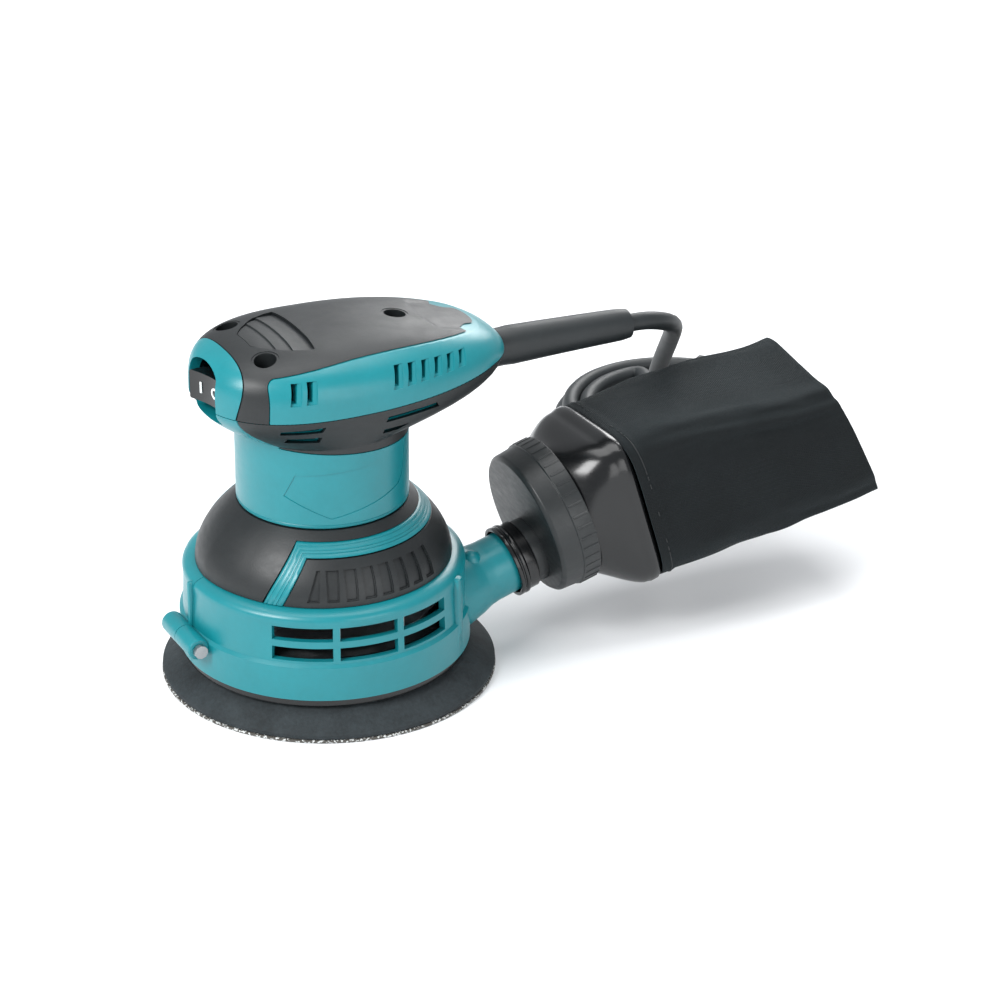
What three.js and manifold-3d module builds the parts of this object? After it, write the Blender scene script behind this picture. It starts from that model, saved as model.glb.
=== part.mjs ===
// Random orbital palm sander with a side spout, a cloth dust bag and a mains cord.
// Millimetres, +Z up. The origin is on the motor axis at the abrasive's lower face,
// +X runs along the handle towards the cord, and the switch is at the -X end.
import * as THREE from 'three';
import { mergeVertices } from 'three/addons/utils/BufferGeometryUtils.js';
import Module from 'manifold-3d';

const wasm = await Module();
wasm.setup();

// ---------------------------------------------------------------- driving dimensions
const GAP = 0.3; // clearance between pieces that touch
const ECCENTRIC = 1.4; // throw of the orbit

// pad
const PAD_RADIUS = 62.5;
const ABRASIVE_THICKNESS = 1.0;
const PAD_EDGE = 2.2; // thickness of the pad's rim
const PAD_HEIGHT = 9.9; // top of the pad's cone
const PAD_CROWN_RADIUS = 50;
const PLATE_RADIUS = 44;
const PLATE_THICKNESS = 2.2;
const DUST_HOLES = 8;
const DUST_HOLE_RADIUS = 4.5;
const DUST_HOLE_CIRCLE = 32.5;
const SPINDLE_RADIUS = 5;
const PAD_SCREW_HEAD = 6;

// skirt, the lower casing round the fans
const SKIRT_RADIUS = 54.2;
const SKIRT_BOTTOM = 13.3;
const SKIRT_TOP = 47.2;
const SKIRT_LIP_RADIUS = 47.8;
const SKIRT_WALL = 2.4;
const SKIRT_LEDGE = 27;
const SKIRT_SPLIT_REAR = 20; // degrees, where the two halves meet at the back
const BRAKE_HEIGHT = 3.2;
const VENT_FROM = -136; // degrees
const VENT_TO = -58;
const VENT_POST = 2.6;
const VENT_LOW = [28.4, 33.6];
const VENT_HIGH = [36.2, 41.6];

// spout
const SPOUT_ROOT = [51.5, -14, 28.2];
const SPOUT_TILT = 15.5; // degrees
const SPOUT_LENGTH = 22;
const SPOUT_ROOT_RADIUS = 14.5;
const SPOUT_END_RADIUS = 11.7;
const SPOUT_BORE = 9.2;

// motor casing
const MOTOR_RADIUS = 31.9;
const MOTOR_WALL = 2.5;
const DOME_TOP = 71;
const DOME_SKIN = 1.7; // thickness of the soft covers that lie on the casing
const COLLAR_BOTTOM = 102.5;
const SEAM = 117; // where the top cover meets the motor casing

// handle
const HANDLE_CENTRE = 2;
const HANDLE_FRONT = 50;
const HANDLE_REAR = 68.5;
const HANDLE_HALF_WIDTH = 37;
const HANDLE_HEIGHT = 21.5; // above the seam
const HANDLE_WALL = 2.4;
const GRIP_LEVEL = 133.2; // lower edge of the soft top
const FRAME_BACK = 43; // front edge of the soft band at the seam
const CHIN_HALF = 19; // half the width of the bare chin under the switch
const PANEL_FRONT = 32; // front edge of the side panels
const COVER_SCREWS = { front_near: [-29, -17], front_far: [-29, 17], rear: [30, 0] };
const COVER_SCREW_HEAD = 3.6;
const SCREW_WELL = 5;
const WELL_DEPTH = 11; // below the handle's top
const HANDLE_VENTS_FRONT = { first: -24.5, pitch: 5.4, count: 2, width: 2.3, height: 6.6 };
const HANDLE_VENTS_REAR = { first: 14.4, pitch: 5.65, count: 6, width: 2.2, height: 6.4 };
const HANDLE_VENT_LEVEL = 127.9;

// switch
const ROCKER_LENGTH = 19;
const ROCKER_HEIGHT = 11;
const ROCKER_DEPTH = 8;
const ROCKER_PIVOT = [-39, 0, 121.5];
const ROCKER_REST = 15; // degrees that the pressed end is turned in
const SWITCH_POCKET_DEPTH = 10;
const SWITCH_BODY = [18, 18, 14];
const POCKET_WIDTH = 22.6;
const POCKET = { below: 9.5, above: 6.6, arch: 4.4 }; // from the rocker's middle

// motor
const SHAFT_RADIUS = 4;
const ROTOR_RADIUS = 16;
const STACK_BOTTOM = 60;
const STACK_HEIGHT = 28;
const AIR_GAP = 0.5;
const STATOR_YOKE = 5;
const COMMUTATOR_RADIUS = 11;
const COMMUTATOR_HEIGHT = 11;
const BRUSH = [6, 8, 8.5]; // width, height, length
const BRUSH_HOLDER_LENGTH = 15;
const BRUSH_HOLDER_WALL = 1.2;
const BEARING_LOWER = { radius: 11, height: 7 };
const BEARING_UPPER = { radius: 9.5, height: 6 };
const BEARING_PAD = { radius: 11, height: 9 };
const COOLING_FAN = { radius: 43, bottom: 29.3, height: 13.5, blades: 10 };
const DUST_FAN = { radius: 41, bottom: 15.6, height: 9.4, blades: 8 };
const BALANCE_RADIUS = 15.5;
const BALANCE_TOP = 28;

// cord
const GUARD_LENGTH = 57.5; // outside the handle
const GUARD_INSIDE = 18.5;
const CLAMP_SCREW_OFFSET = 7.5;
const GUARD_ROOT_RADIUS = 7.35;
const GUARD_END_RADIUS = 6;
const CORD_DIAMETER = 7;
const CORD_LEVEL = 115;
const COIL_CENTRE = [213, 112];
const COIL_TURN_RADIUS = 39; // middle of the winding
const COIL_LAYERS = 3; // turns side by side
const COIL_HEIGHT = 18;
const PLUG = { width: 35, length: 34, height: 15, shift: 4 };
const PIN = { radius: 2.4, length: 19, pitch: 19 };

// dust bag
const CUFF = { start: 16, end: 25, radius: 14 };
const INLET_RADIUS = 12.6;
const DRUM = { start: 29.5, depth: 16, radius: 28, rise: 10.5 };
const BAG_ROLL = 4; // degrees about the spout
const FRAME_DEPTH = 21;
const FRAME_SIZE = [58, 62];
const BAG_LENGTH = 86;
const BAG_SIZE = [61, 60];
const BAG_SAG = 7; // drop of the bag's far end from the spout's line

// ---------------------------------------------------------------- finishes
const finish = (color, roughness, metalness = 0) =>
  new THREE.MeshStandardMaterial({ color, roughness, metalness });
const teal = finish('#17929c', 0.42);
const softBlack = finish('#25282b', 0.7);
const glossBlack = finish('#16181a', 0.3);
const rubber = finish('#2b2f32', 0.85);
const cloth = finish('#1a1c1f', 0.95);
const grit = finish('#4d4a47', 0.95);
const steel = finish('#9aa0a5', 0.35, 0.9);
const laminations = finish('#6d7276', 0.5, 0.8);
const copper = finish('#b5672d', 0.4, 0.85);
const brass = finish('#c0a05a', 0.35, 0.9);
const carbon = finish('#2c2c2e', 0.8);
const nylon = finish('#3a3d40', 0.5);

// ---------------------------------------------------------------- solids
const degrees = THREE.MathUtils.degToRad;

// A closed geometry becomes a solid for joining and cutting, with its faces pointing out.
function solid(geometry) {
  const bare = geometry.clone();
  bare.deleteAttribute('normal');
  bare.deleteAttribute('uv');
  const merged = mergeVertices(bare, 1e-4);
  const vertProperties = Float32Array.from(merged.attributes.position.array);
  const corner = (i) => new THREE.Vector3().fromArray(vertProperties, 3 * i);
  const faces = [];
  let volume = 0;
  for (let i = 0; i < merged.index.count; i += 3) {
    const [a, b, c] = [0, 1, 2].map((k) => merged.index.getX(i + k));
    if (a === b || b === c || c === a) continue;
    faces.push([a, b, c]);
    volume += corner(a).dot(corner(b).cross(corner(c)));
  }
  const turned = volume < 0 ? faces.map(([a, b, c]) => [a, c, b]) : faces;
  const triVerts = Uint32Array.from(turned.flat());
  return new wasm.Manifold(new wasm.Mesh({ numProp: 3, vertProperties, triVerts }));
}

function geometryOf(shape) {
  const mesh = shape.getMesh();
  const geometry = new THREE.BufferGeometry();
  geometry.setAttribute('position', new THREE.Float32BufferAttribute(mesh.vertProperties, 3));
  geometry.setIndex(Array.from(mesh.triVerts));
  geometry.computeVertexNormals();
  return geometry;
}

const join = (first, ...rest) => rest.reduce((sum, shape) => sum.add(shape), first);
const cut = (first, ...rest) => rest.reduce((left, shape) => left.subtract(shape), first);
const common = (first, ...rest) => rest.reduce((left, shape) => left.intersect(shape), first);

// A box from its size and its centre.
function box([sx, sy, sz], [x, y, z], turn = 0) {
  const geometry = new THREE.BoxGeometry(sx, sy, sz);
  return solid(geometry.rotateZ(turn).translate(x, y, z));
}

// A turned solid about the Z axis through (x, y): the profile lists [radius, height].
function turned(profile, segments = 36, x = 0, y = 0) {
  const points = profile.map(([radius, height]) => new THREE.Vector2(radius, height));
  return solid(new THREE.LatheGeometry(points, segments).rotateX(Math.PI / 2).translate(x, y, 0));
}

// A ring or washer, or a plain cylinder when the inner radius is zero.
function ring(outer, inner, bottom, top, segments = 36, x = 0, y = 0) {
  const profile = [[inner, bottom], [outer, bottom], [outer, top], [inner, top]];
  if (inner > 0) profile.push([inner, bottom]);
  return turned(profile, segments, x, y);
}

// A cylinder or cone from one point to another.
function rod(from, to, radius, endRadius = radius, segments = 24) {
  const [a, b] = [new THREE.Vector3(...from), new THREE.Vector3(...to)];
  const along = b.clone().sub(a);
  const geometry = new THREE.CylinderGeometry(endRadius, radius, along.length(), segments);
  const turn = new THREE.Quaternion();
  turn.setFromUnitVectors(new THREE.Vector3(0, 1, 0), along.clone().normalize());
  const middle = a.add(b).multiplyScalar(0.5);
  return solid(geometry.applyQuaternion(turn).translate(middle.x, middle.y, middle.z));
}

// A stack of closed outlines. The shape takes the angle, the height from 0 to 1 and the
// reach, 1 on the skin and 0 at the middle of each end, and gives a point.
function loft(segments, rows, shape) {
  const geometry = new THREE.CylinderGeometry(1, 1, 1, segments, rows);
  const position = geometry.attributes.position;
  for (let i = 0; i < position.count; i += 1) {
    const [x, y, z] = [position.getX(i), position.getY(i), position.getZ(i)];
    position.setXYZ(i, ...shape(Math.atan2(x, z), y + 0.5, Math.min(1, Math.hypot(x, z))));
  }
  return solid(geometry);
}

// A closed tube with its own path: the path takes 0 to 1 and gives a point and two directions.
function loopTube(path, [half, thick], steps, sides) {
  const geometry = new THREE.TorusGeometry(2, 1, sides, steps);
  const position = geometry.attributes.position;
  for (let i = 0; i < position.count; i += 1) {
    const [x, y, z] = [position.getX(i), position.getY(i), position.getZ(i)];
    const around = Math.atan2(z, Math.hypot(x, y) - 2);
    const { point, out, side } = path((Math.atan2(y, x) / (2 * Math.PI) + 1) % 1);
    point.addScaledVector(out, half * Math.cos(around));
    point.addScaledVector(side, thick * Math.sin(around));
    position.setXYZ(i, point.x, point.y, point.z);
  }
  return solid(geometry);
}

// A tube along a smooth curve through points.
function tube(points, radius, steps, sides = 8) {
  const section = new THREE.Shape();
  section.absarc(0, 0, radius, 0, 2 * Math.PI);
  const path = new THREE.CatmullRomCurve3(points.map((p) => new THREE.Vector3(...p)));
  const settings = { steps, curveSegments: sides / 2, bevelEnabled: false, extrudePath: path };
  return solid(new THREE.ExtrudeGeometry(section, settings));
}

const REACH = 400; // half-spaces and wedges reach past everything
// Everything on the positive side of an upright plane at a distance from the axis.
function halfSpace(angle, distance) {
  const geometry = new THREE.BoxGeometry(REACH, 2 * REACH, 2 * REACH);
  return solid(geometry.translate(distance + REACH / 2, 0, 0).rotateZ(degrees(angle)));
}
// Everything between two angles about the Z axis, less than half a turn apart.
const wedge = (from, to, inset = 0) =>
  common(halfSpace(from + 90, inset), halfSpace(to - 90, inset));

const part = new THREE.Group();
function add(name, shape, material) {
  const mesh = new THREE.Mesh(geometryOf(shape), material);
  mesh.name = name;
  part.add(mesh);
}

// ---------------------------------------------------------------- pad, on its own spindle
const padTurn = [ECCENTRIC, 0]; // the pad's axis
const padBottom = ABRASIVE_THICKNESS + GAP;
const plateBottom = PAD_HEIGHT + GAP;
const plateTop = plateBottom + PLATE_THICKNESS;

function dustHoles(shape, radius) {
  let drilled = shape;
  for (let i = 0; i < DUST_HOLES; i += 1) {
    const angle = (2 * Math.PI * (i + 0.5)) / DUST_HOLES;
    const x = ECCENTRIC + DUST_HOLE_CIRCLE * Math.cos(angle);
    const y = DUST_HOLE_CIRCLE * Math.sin(angle);
    drilled = cut(drilled, ring(radius, 0, -5, plateTop + 5, 8, x, y));
  }
  return drilled;
}

function addPad() {
  const disc = ring(PAD_RADIUS, 0, 0, ABRASIVE_THICKNESS, 44, ...padTurn);
  add('abrasive_disc', dustHoles(disc, DUST_HOLE_RADIUS), grit);
  const cushionProfile = [
    [PAD_SCREW_HEAD + 1.5, padBottom],
    [PAD_RADIUS - 0.4, padBottom],
    [PAD_RADIUS - 0.2, padBottom + PAD_EDGE],
    [PAD_CROWN_RADIUS + 5, PAD_HEIGHT - 2.6],
    [PAD_CROWN_RADIUS, PAD_HEIGHT],
    [PAD_SCREW_HEAD + 1.5, PAD_HEIGHT],
    [PAD_SCREW_HEAD + 1.5, padBottom],
  ];
  const cushion = turned(cushionProfile, 40, ...padTurn);
  add('backing_pad', dustHoles(cushion, DUST_HOLE_RADIUS), rubber);
  const plate = ring(PLATE_RADIUS, 3.2, plateBottom, plateTop, 24, ...padTurn);
  add('pad_plate', dustHoles(plate, DUST_HOLE_RADIUS), nylon);
  const spindleBottom = plateTop + GAP;
  const spindleProfile = [
    [3.2, spindleBottom],
    [SPINDLE_RADIUS + 2.5, spindleBottom],
    [SPINDLE_RADIUS + 2.5, DUST_FAN.bottom + 0.4],
    [SPINDLE_RADIUS, DUST_FAN.bottom + 0.4],
    [SPINDLE_RADIUS, DUST_FAN.bottom + DUST_FAN.height],
    [3.2, DUST_FAN.bottom + DUST_FAN.height],
    [3.2, spindleBottom],
  ];
  add('pad_spindle', turned(spindleProfile, 16, ...padTurn), steel);
  const headTop = plateBottom - GAP;
  const screwProfile = [
    [0, headTop - 4],
    [PAD_SCREW_HEAD, headTop - 4],
    [PAD_SCREW_HEAD, headTop],
    [2.8, headTop],
    [2.8, DUST_FAN.bottom + 6],
    [0, DUST_FAN.bottom + 6],
  ];
  add('pad_screw', turned(screwProfile, 12, ...padTurn), steel);
}

// ---------------------------------------------------------------- what turns with the motor
const stackTop = STACK_BOTTOM + STACK_HEIGHT;
const commutatorBottom = stackTop + 8;
const brushLevel = commutatorBottom + COMMUTATOR_HEIGHT / 2;
const upperBearingBottom = commutatorBottom + COMMUTATOR_HEIGHT + 4;
const plateLevel = COOLING_FAN.bottom + COOLING_FAN.height + 1.2; // bearing plate
const lowerBearingBottom = plateLevel + 3.5;
const shaftTop = upperBearingBottom + BEARING_UPPER.height + 1;

// A fan with straight blades standing on a disc.
function fan({ radius, bottom, height, blades }, bore, discAtTop) {
  const disc = discAtTop ? [bottom + height - 1.6, bottom + height] : [bottom, bottom + 1.6];
  let shape = join(ring(radius, bore, ...disc, 24), ring(bore + 3, bore, bottom, bottom + height, 16));
  const from = bore + 2;
  for (let i = 0; i < blades; i += 1) {
    const angle = (2 * Math.PI * i) / blades;
    const geometry = new THREE.BoxGeometry(radius - 1 - from, 1.5, height - 0.8);
    geometry.translate((radius - 1 + from) / 2, 0, bottom + height / 2);
    shape = join(shape, solid(geometry.rotateZ(angle)));
  }
  return shape;
}

function addArmature() {
  const webBottom = DUST_FAN.bottom + DUST_FAN.height + GAP;
  const shaftBottom = webBottom + GAP;
  add('armature_shaft', ring(SHAFT_RADIUS, 0, shaftBottom, shaftTop, 16), steel);
  const slots = 8;
  let core = ring(ROTOR_RADIUS, SHAFT_RADIUS + GAP, STACK_BOTTOM, stackTop, 24);
  for (let i = 0; i < slots; i += 1) {
    const angle = (2 * Math.PI * i) / slots;
    const geometry = new THREE.BoxGeometry(5, 1.6, STACK_HEIGHT + 4);
    geometry.translate(ROTOR_RADIUS - 1, 0, STACK_BOTTOM + STACK_HEIGHT / 2).rotateZ(angle);
    core = cut(core, solid(geometry));
  }
  add('rotor_core', core, laminations);
  const coilProfile = (low, high) => [
    [SHAFT_RADIUS + GAP, low],
    [ROTOR_RADIUS - 4, low],
    [ROTOR_RADIUS - 2, (low + high) / 2],
    [ROTOR_RADIUS - 4, high],
    [SHAFT_RADIUS + GAP, high],
    [SHAFT_RADIUS + GAP, low],
  ];
  add('rotor_winding_lower', turned(coilProfile(STACK_BOTTOM - 5, STACK_BOTTOM - GAP), 16), copper);
  add('rotor_winding_upper', turned(coilProfile(stackTop + GAP, stackTop + 6), 16), copper);
  const commutatorTop = commutatorBottom + COMMUTATOR_HEIGHT;
  const bore = SHAFT_RADIUS + GAP;
  add('commutator', ring(COMMUTATOR_RADIUS, bore, commutatorBottom, commutatorTop, 20), copper);
  add('cooling_fan', fan(COOLING_FAN, bore, false), laminations);
  add('dust_fan', fan(DUST_FAN, BALANCE_RADIUS + GAP, true), nylon);
  const seat = ring(BEARING_PAD.radius + GAP, 0, DUST_FAN.bottom - 5, webBottom, 20, ...padTurn);
  const weight = ring(BALANCE_RADIUS, 0, DUST_FAN.bottom, BALANCE_TOP, 24);
  const shaftBore = ring(SHAFT_RADIUS + GAP, 0, webBottom - 1, BALANCE_TOP + 1, 16);
  add('balance_weight', cut(weight, seat, shaftBore), steel);
  const bearingBottom = DUST_FAN.bottom + 0.8;
  const outerBottom = bearingBottom + BEARING_PAD.height - 1;
  const padBearing = ring(BEARING_PAD.radius, SPINDLE_RADIUS + GAP, bearingBottom, outerBottom, 20, ...padTurn);
  add('pad_bearing', padBearing, steel);
}

// ---------------------------------------------------------------- what the casing holds
function addMotor() {
  const stackMiddle = STACK_BOTTOM + STACK_HEIGHT / 2;
  const statorOuter = MOTOR_RADIUS - MOTOR_WALL - GAP;
  const poleInner = ROTOR_RADIUS + AIR_GAP;
  const yoke = ring(statorOuter, statorOuter - STATOR_YOKE, STACK_BOTTOM, stackTop, 28);
  const poleRing = ring(statorOuter - 1, poleInner, STACK_BOTTOM, stackTop, 28);
  const poleArc = 42; // degrees each side
  const poles = [0, 180].map((angle) => common(poleRing, wedge(angle - poleArc, angle + poleArc)));
  add('stator_core', join(yoke, ...poles), laminations);

  // Each field winding is a saddle that goes up one side of a pole and down the other.
  const legArc = degrees(poleArc + 17);
  const legRadius = (poleInner + statorOuter - STATOR_YOKE) / 2;
  const halfHeight = STACK_HEIGHT / 2 + 3.2;
  const saddle = (facing) => (t) => {
    const turn = 2 * Math.PI * t;
    const spread = legArc * Math.sign(Math.cos(turn)) * Math.abs(Math.cos(turn)) ** 0.4;
    const height = halfHeight * Math.sign(Math.sin(turn)) * Math.abs(Math.sin(turn)) ** 0.4;
    const angle = facing + spread;
    const radial = new THREE.Vector3(Math.cos(angle), Math.sin(angle), 0);
    const around = new THREE.Vector3(-Math.sin(angle), Math.cos(angle), 0);
    const outward = around.multiplyScalar(Math.cos(turn));
    outward.add(new THREE.Vector3(0, 0, Math.sin(turn))).normalize();
    const point = radial.clone().multiplyScalar(legRadius);
    point.z = stackMiddle + height;
    return { point, out: outward, side: radial };
  };
  add('field_winding_front', loopTube(saddle(Math.PI), [2.2, 2.6], 24, 5), copper);
  add('field_winding_rear', loopTube(saddle(0), [2.2, 2.6], 24, 5), copper);

  const bearingRing = ({ radius, height }, bottom, shaft) =>
    ring(radius, shaft + GAP, bottom, bottom + height, 18);
  add('lower_bearing', bearingRing(BEARING_LOWER, lowerBearingBottom, SHAFT_RADIUS), steel);
  add('upper_bearing', bearingRing(BEARING_UPPER, upperBearingBottom, SHAFT_RADIUS), steel);

  // The bearing plate closes the bottom of the motor and carries the lower bearing in a cup.
  const cupOuter = BEARING_LOWER.radius + 2.2;
  const cupTop = lowerBearingBottom + BEARING_LOWER.height;
  const plateRadius = SKIRT_LIP_RADIUS - SKIRT_WALL - MOTOR_WALL - 2;
  let plate = join(
    ring(plateRadius, SHAFT_RADIUS + 2.5, plateLevel, plateLevel + 2.2, 28),
    ring(cupOuter, BEARING_LOWER.radius + GAP, plateLevel + 1, cupTop, 18),
  );
  for (let i = 0; i < 4; i += 1) {
    const angle = degrees(90 * i + 45);
    const reach = (plateRadius + cupOuter) / 2;
    const centre = [reach * Math.cos(angle), reach * Math.sin(angle)];
    plate = cut(plate, ring(7, 0, plateLevel - 1, plateLevel + 3, 8, ...centre));
  }
  add('bearing_plate', plate, laminations);

  // The baffle keeps the dust air under the cooling air.
  const baffleLevel = DUST_FAN.bottom + DUST_FAN.height + 1.6;
  const baffleOuter = SKIRT_RADIUS - SKIRT_WALL - 3;
  add('fan_baffle', ring(baffleOuter, BALANCE_RADIUS + 2, baffleLevel, baffleLevel + 1.4, 32), nylon);

  // The bridge spans the open top of the casing and carries the upper bearing.
  const bridgeBottom = upperBearingBottom - 2.5;
  const span = 2 * (MOTOR_RADIUS - HANDLE_WALL - 3);
  const bridge = join(
    box([22, span, 3], [0, 0, bridgeBottom + 1.5]),
    ring(BEARING_UPPER.radius + 2.2, 0, bridgeBottom + 1, shaftTop + 1.6, 18),
  );
  const seat = ring(BEARING_UPPER.radius + GAP, 0, upperBearingBottom - GAP, shaftTop + GAP, 18);
  const bore = ring(SHAFT_RADIUS + 2, 0, bridgeBottom - 1, upperBearingBottom + 1, 14);
  add('bearing_bridge', cut(bridge, seat, bore), nylon);

  for (const [place, side] of [['near', -1], ['far', 1]]) addBrush(place, side);
}

// A brush in its holder, with the coil spring that presses it on the commutator.
function addBrush(place, side) {
  const [width, height, length] = BRUSH;
  const inner = COMMUTATOR_RADIUS + GAP;
  const holderLength = BRUSH_HOLDER_LENGTH;
  const middle = side * (inner + 1.5 + holderLength / 2);
  const outside = [width + 2 * BRUSH_HOLDER_WALL + 0.6, holderLength, height + 2 * BRUSH_HOLDER_WALL + 0.6];
  const inside = [width + 0.6, holderLength + 2, height + 0.6];
  const sleeve = cut(box(outside, [0, middle, brushLevel]), box(inside, [0, middle, brushLevel]));
  const endAt = side * (inner + 1.5 + holderLength - 0.6);
  const end = box([outside[0], 1.2, outside[2]], [0, endAt, brushLevel]);
  add(`brush_holder_${place}`, join(sleeve, end), brass);
  const brushMiddle = side * (inner + length / 2);
  add(`carbon_brush_${place}`, box([width, length, height], [0, brushMiddle, brushLevel]), carbon);
  const turns = 3;
  const from = inner + length + GAP + 0.5;
  const to = Math.abs(endAt) - 0.6 - GAP - 0.5;
  const points = [];
  for (let i = 0; i <= turns * 6; i += 1) {
    const angle = (2 * Math.PI * i) / 6;
    const along = from + ((to - from) * i) / (turns * 6);
    points.push([2 * Math.cos(angle), side * along, brushLevel + 2 * Math.sin(angle)]);
  }
  add(`brush_spring_${place}`, tube(points, 0.4, turns * 6, 4), steel);
}

// ---------------------------------------------------------------- skirt
const skirtProfile = (inset) => {
  const bulge = (SKIRT_RADIUS + SKIRT_LIP_RADIUS) / 2 + 1.6;
  return [
    [SKIRT_RADIUS - inset, SKIRT_BOTTOM - (inset ? 1 : 0)],
    [SKIRT_RADIUS - 0.4 - inset, SKIRT_LEDGE - 0.6],
    [SKIRT_RADIUS - 1.6 - inset, SKIRT_LEDGE + 0.4],
    [SKIRT_RADIUS - 2 - inset, SKIRT_TOP - 6.2],
    [bulge - inset, SKIRT_TOP - 2.6],
    [SKIRT_LIP_RADIUS - inset, SKIRT_TOP + (inset ? 1 : 0)],
  ];
};
const closedProfile = (points) => [[0, points[0][1]], ...points, [0, points.at(-1)[1]]];

const spoutAlong = new THREE.Vector3(Math.cos(degrees(SPOUT_TILT)), 0, Math.sin(degrees(SPOUT_TILT)));
const spoutUp = new THREE.Vector3(-Math.sin(degrees(SPOUT_TILT)), 0, Math.cos(degrees(SPOUT_TILT)));
// A point at a distance along the spout, with a sideways and an upward offset.
function spoutPoint(along, sideways = 0, up = 0) {
  const point = new THREE.Vector3(...SPOUT_ROOT).addScaledVector(spoutAlong, along);
  point.addScaledVector(spoutUp, up);
  point.y += sideways;
  return point.toArray();
}

function skirtVents() {
  const posts = [-110, -83];
  const edges = [VENT_FROM, ...posts, VENT_TO];
  const outer = SKIRT_RADIUS + 8;
  let vents = null;
  for (let i = 0; i + 1 < edges.length; i += 1) {
    const half = (180 / Math.PI) * (VENT_POST / 2 / SKIRT_RADIUS);
    const from = edges[i] + (i ? half : 0);
    const to = edges[i + 1] - (i + 2 < edges.length ? half : 0);
    for (const [low, high] of [VENT_LOW, VENT_HIGH]) {
      const vent = common(ring(outer, SKIRT_RADIUS - 9, low, high, 24), wedge(from, to));
      vents = vents ? vents.add(vent) : vent;
    }
  }
  return vents;
}

function addSkirt() {
  const shell = cut(
    turned(closedProfile(skirtProfile(0)), 32),
    turned(closedProfile(skirtProfile(SKIRT_WALL)), 32),
  );
  const bossRadius = 4.2;
  const bossLevel = SKIRT_LEDGE - 2;
  const bossAt = SKIRT_RADIUS + 2.2;
  const frontBoss = rod([-bossAt, -13, bossLevel], [-bossAt, 13, bossLevel], bossRadius, bossRadius, 12);
  const rearAngle = degrees(SKIRT_SPLIT_REAR);
  const onSplit = (reach, across) => [
    reach * Math.cos(rearAngle) - across * Math.sin(rearAngle),
    reach * Math.sin(rearAngle) + across * Math.cos(rearAngle),
    bossLevel,
  ];
  const rearBoss = rod(onSplit(bossAt, -9), onSplit(bossAt, 9), bossRadius, bossRadius, 12);
  const spoutStart = spoutPoint(-22);
  const spout = rod(spoutStart, spoutPoint(SPOUT_LENGTH), SPOUT_ROOT_RADIUS + 1, SPOUT_END_RADIUS, 24);
  const inside = turned(closedProfile(skirtProfile(SKIRT_WALL)), 32);
  const bore = rod(spoutPoint(-30), spoutPoint(SPOUT_LENGTH + 2), SPOUT_BORE, SPOUT_BORE, 16);
  const frontHole = rod([-bossAt, -20, bossLevel], [-bossAt, 20, bossLevel], 1.9, 1.9, 8);
  const rearHole = rod(onSplit(bossAt, -20), onSplit(bossAt, 20), 1.9, 1.9, 8);
  const floor = turned([[0, 0], [80, 0], [80, SKIRT_BOTTOM], [0, SKIRT_BOTTOM]], 24);
  const whole = cut(join(shell, frontBoss, rearBoss, spout), inside, bore, floor, frontHole, rearHole, skirtVents());
  const farRegion = (inset) =>
    common(halfSpace(90, inset), halfSpace(SKIRT_SPLIT_REAR + 90, inset));
  add('skirt_far', common(whole, farRegion(GAP / 2)), teal);
  add('skirt_near', cut(whole, farRegion(-GAP / 2)), teal);

  // A screw from under its head to its tip, with the head outside.
  const screw = (underHead, tip) => {
    const back = new THREE.Vector3(...underHead).sub(new THREE.Vector3(...tip)).normalize();
    const headTop = new THREE.Vector3(...underHead).addScaledVector(back, 2).toArray();
    return join(rod(headTop, tip, 1.5, 1.5, 8), rod(headTop, underHead, 2.6, 2.6, 10));
  };
  const frontHead = -13 - GAP;
  const rearHead = -9 - GAP;
  add('skirt_screw_front', screw([-bossAt, frontHead, bossLevel], [-bossAt, 9, bossLevel]), steel);
  add('skirt_screw_rear', screw(onSplit(bossAt, rearHead), onSplit(bossAt, 7)), steel);

  // The brake ring hangs inside the skirt's lower edge and rubs lightly on the pad.
  const brakeOuter = SKIRT_RADIUS - SKIRT_WALL - GAP;
  const brakeBottom = PAD_HEIGHT + 0.5;
  const brake = turned([
    [brakeOuter - 3.6, brakeBottom + 1],
    [brakeOuter - 1.5, brakeBottom],
    [SKIRT_RADIUS - 1, brakeBottom],
    [SKIRT_RADIUS - 1, SKIRT_BOTTOM - GAP],
    [brakeOuter, SKIRT_BOTTOM - GAP],
    [brakeOuter, SKIRT_BOTTOM + BRAKE_HEIGHT],
    [brakeOuter - 1.6, SKIRT_BOTTOM + BRAKE_HEIGHT],
    [brakeOuter - 3.6, brakeBottom + 1],
  ], 32);
  add('brake_ring', brake, rubber);
}

// ---------------------------------------------------------------- dome and its covers
const domeBottom = SKIRT_TOP + GAP;
// Radius of the dome's skin at a height, from the skirt's lip up to the motor's cylinder.
function domeRadius(height) {
  const t = THREE.MathUtils.clamp((height - domeBottom) / (DOME_TOP - domeBottom), 0, 1);
  const fall = SKIRT_LIP_RADIUS - GAP - MOTOR_RADIUS;
  return MOTOR_RADIUS + fall * (1 - t ** 1.9);
}
function domeProfile(inset, low, high, rows) {
  const points = [];
  for (let i = 0; i <= rows; i += 1) {
    const height = low + ((high - low) * i) / rows;
    points.push([domeRadius(height) - inset, height]);
  }
  return points;
}

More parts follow.
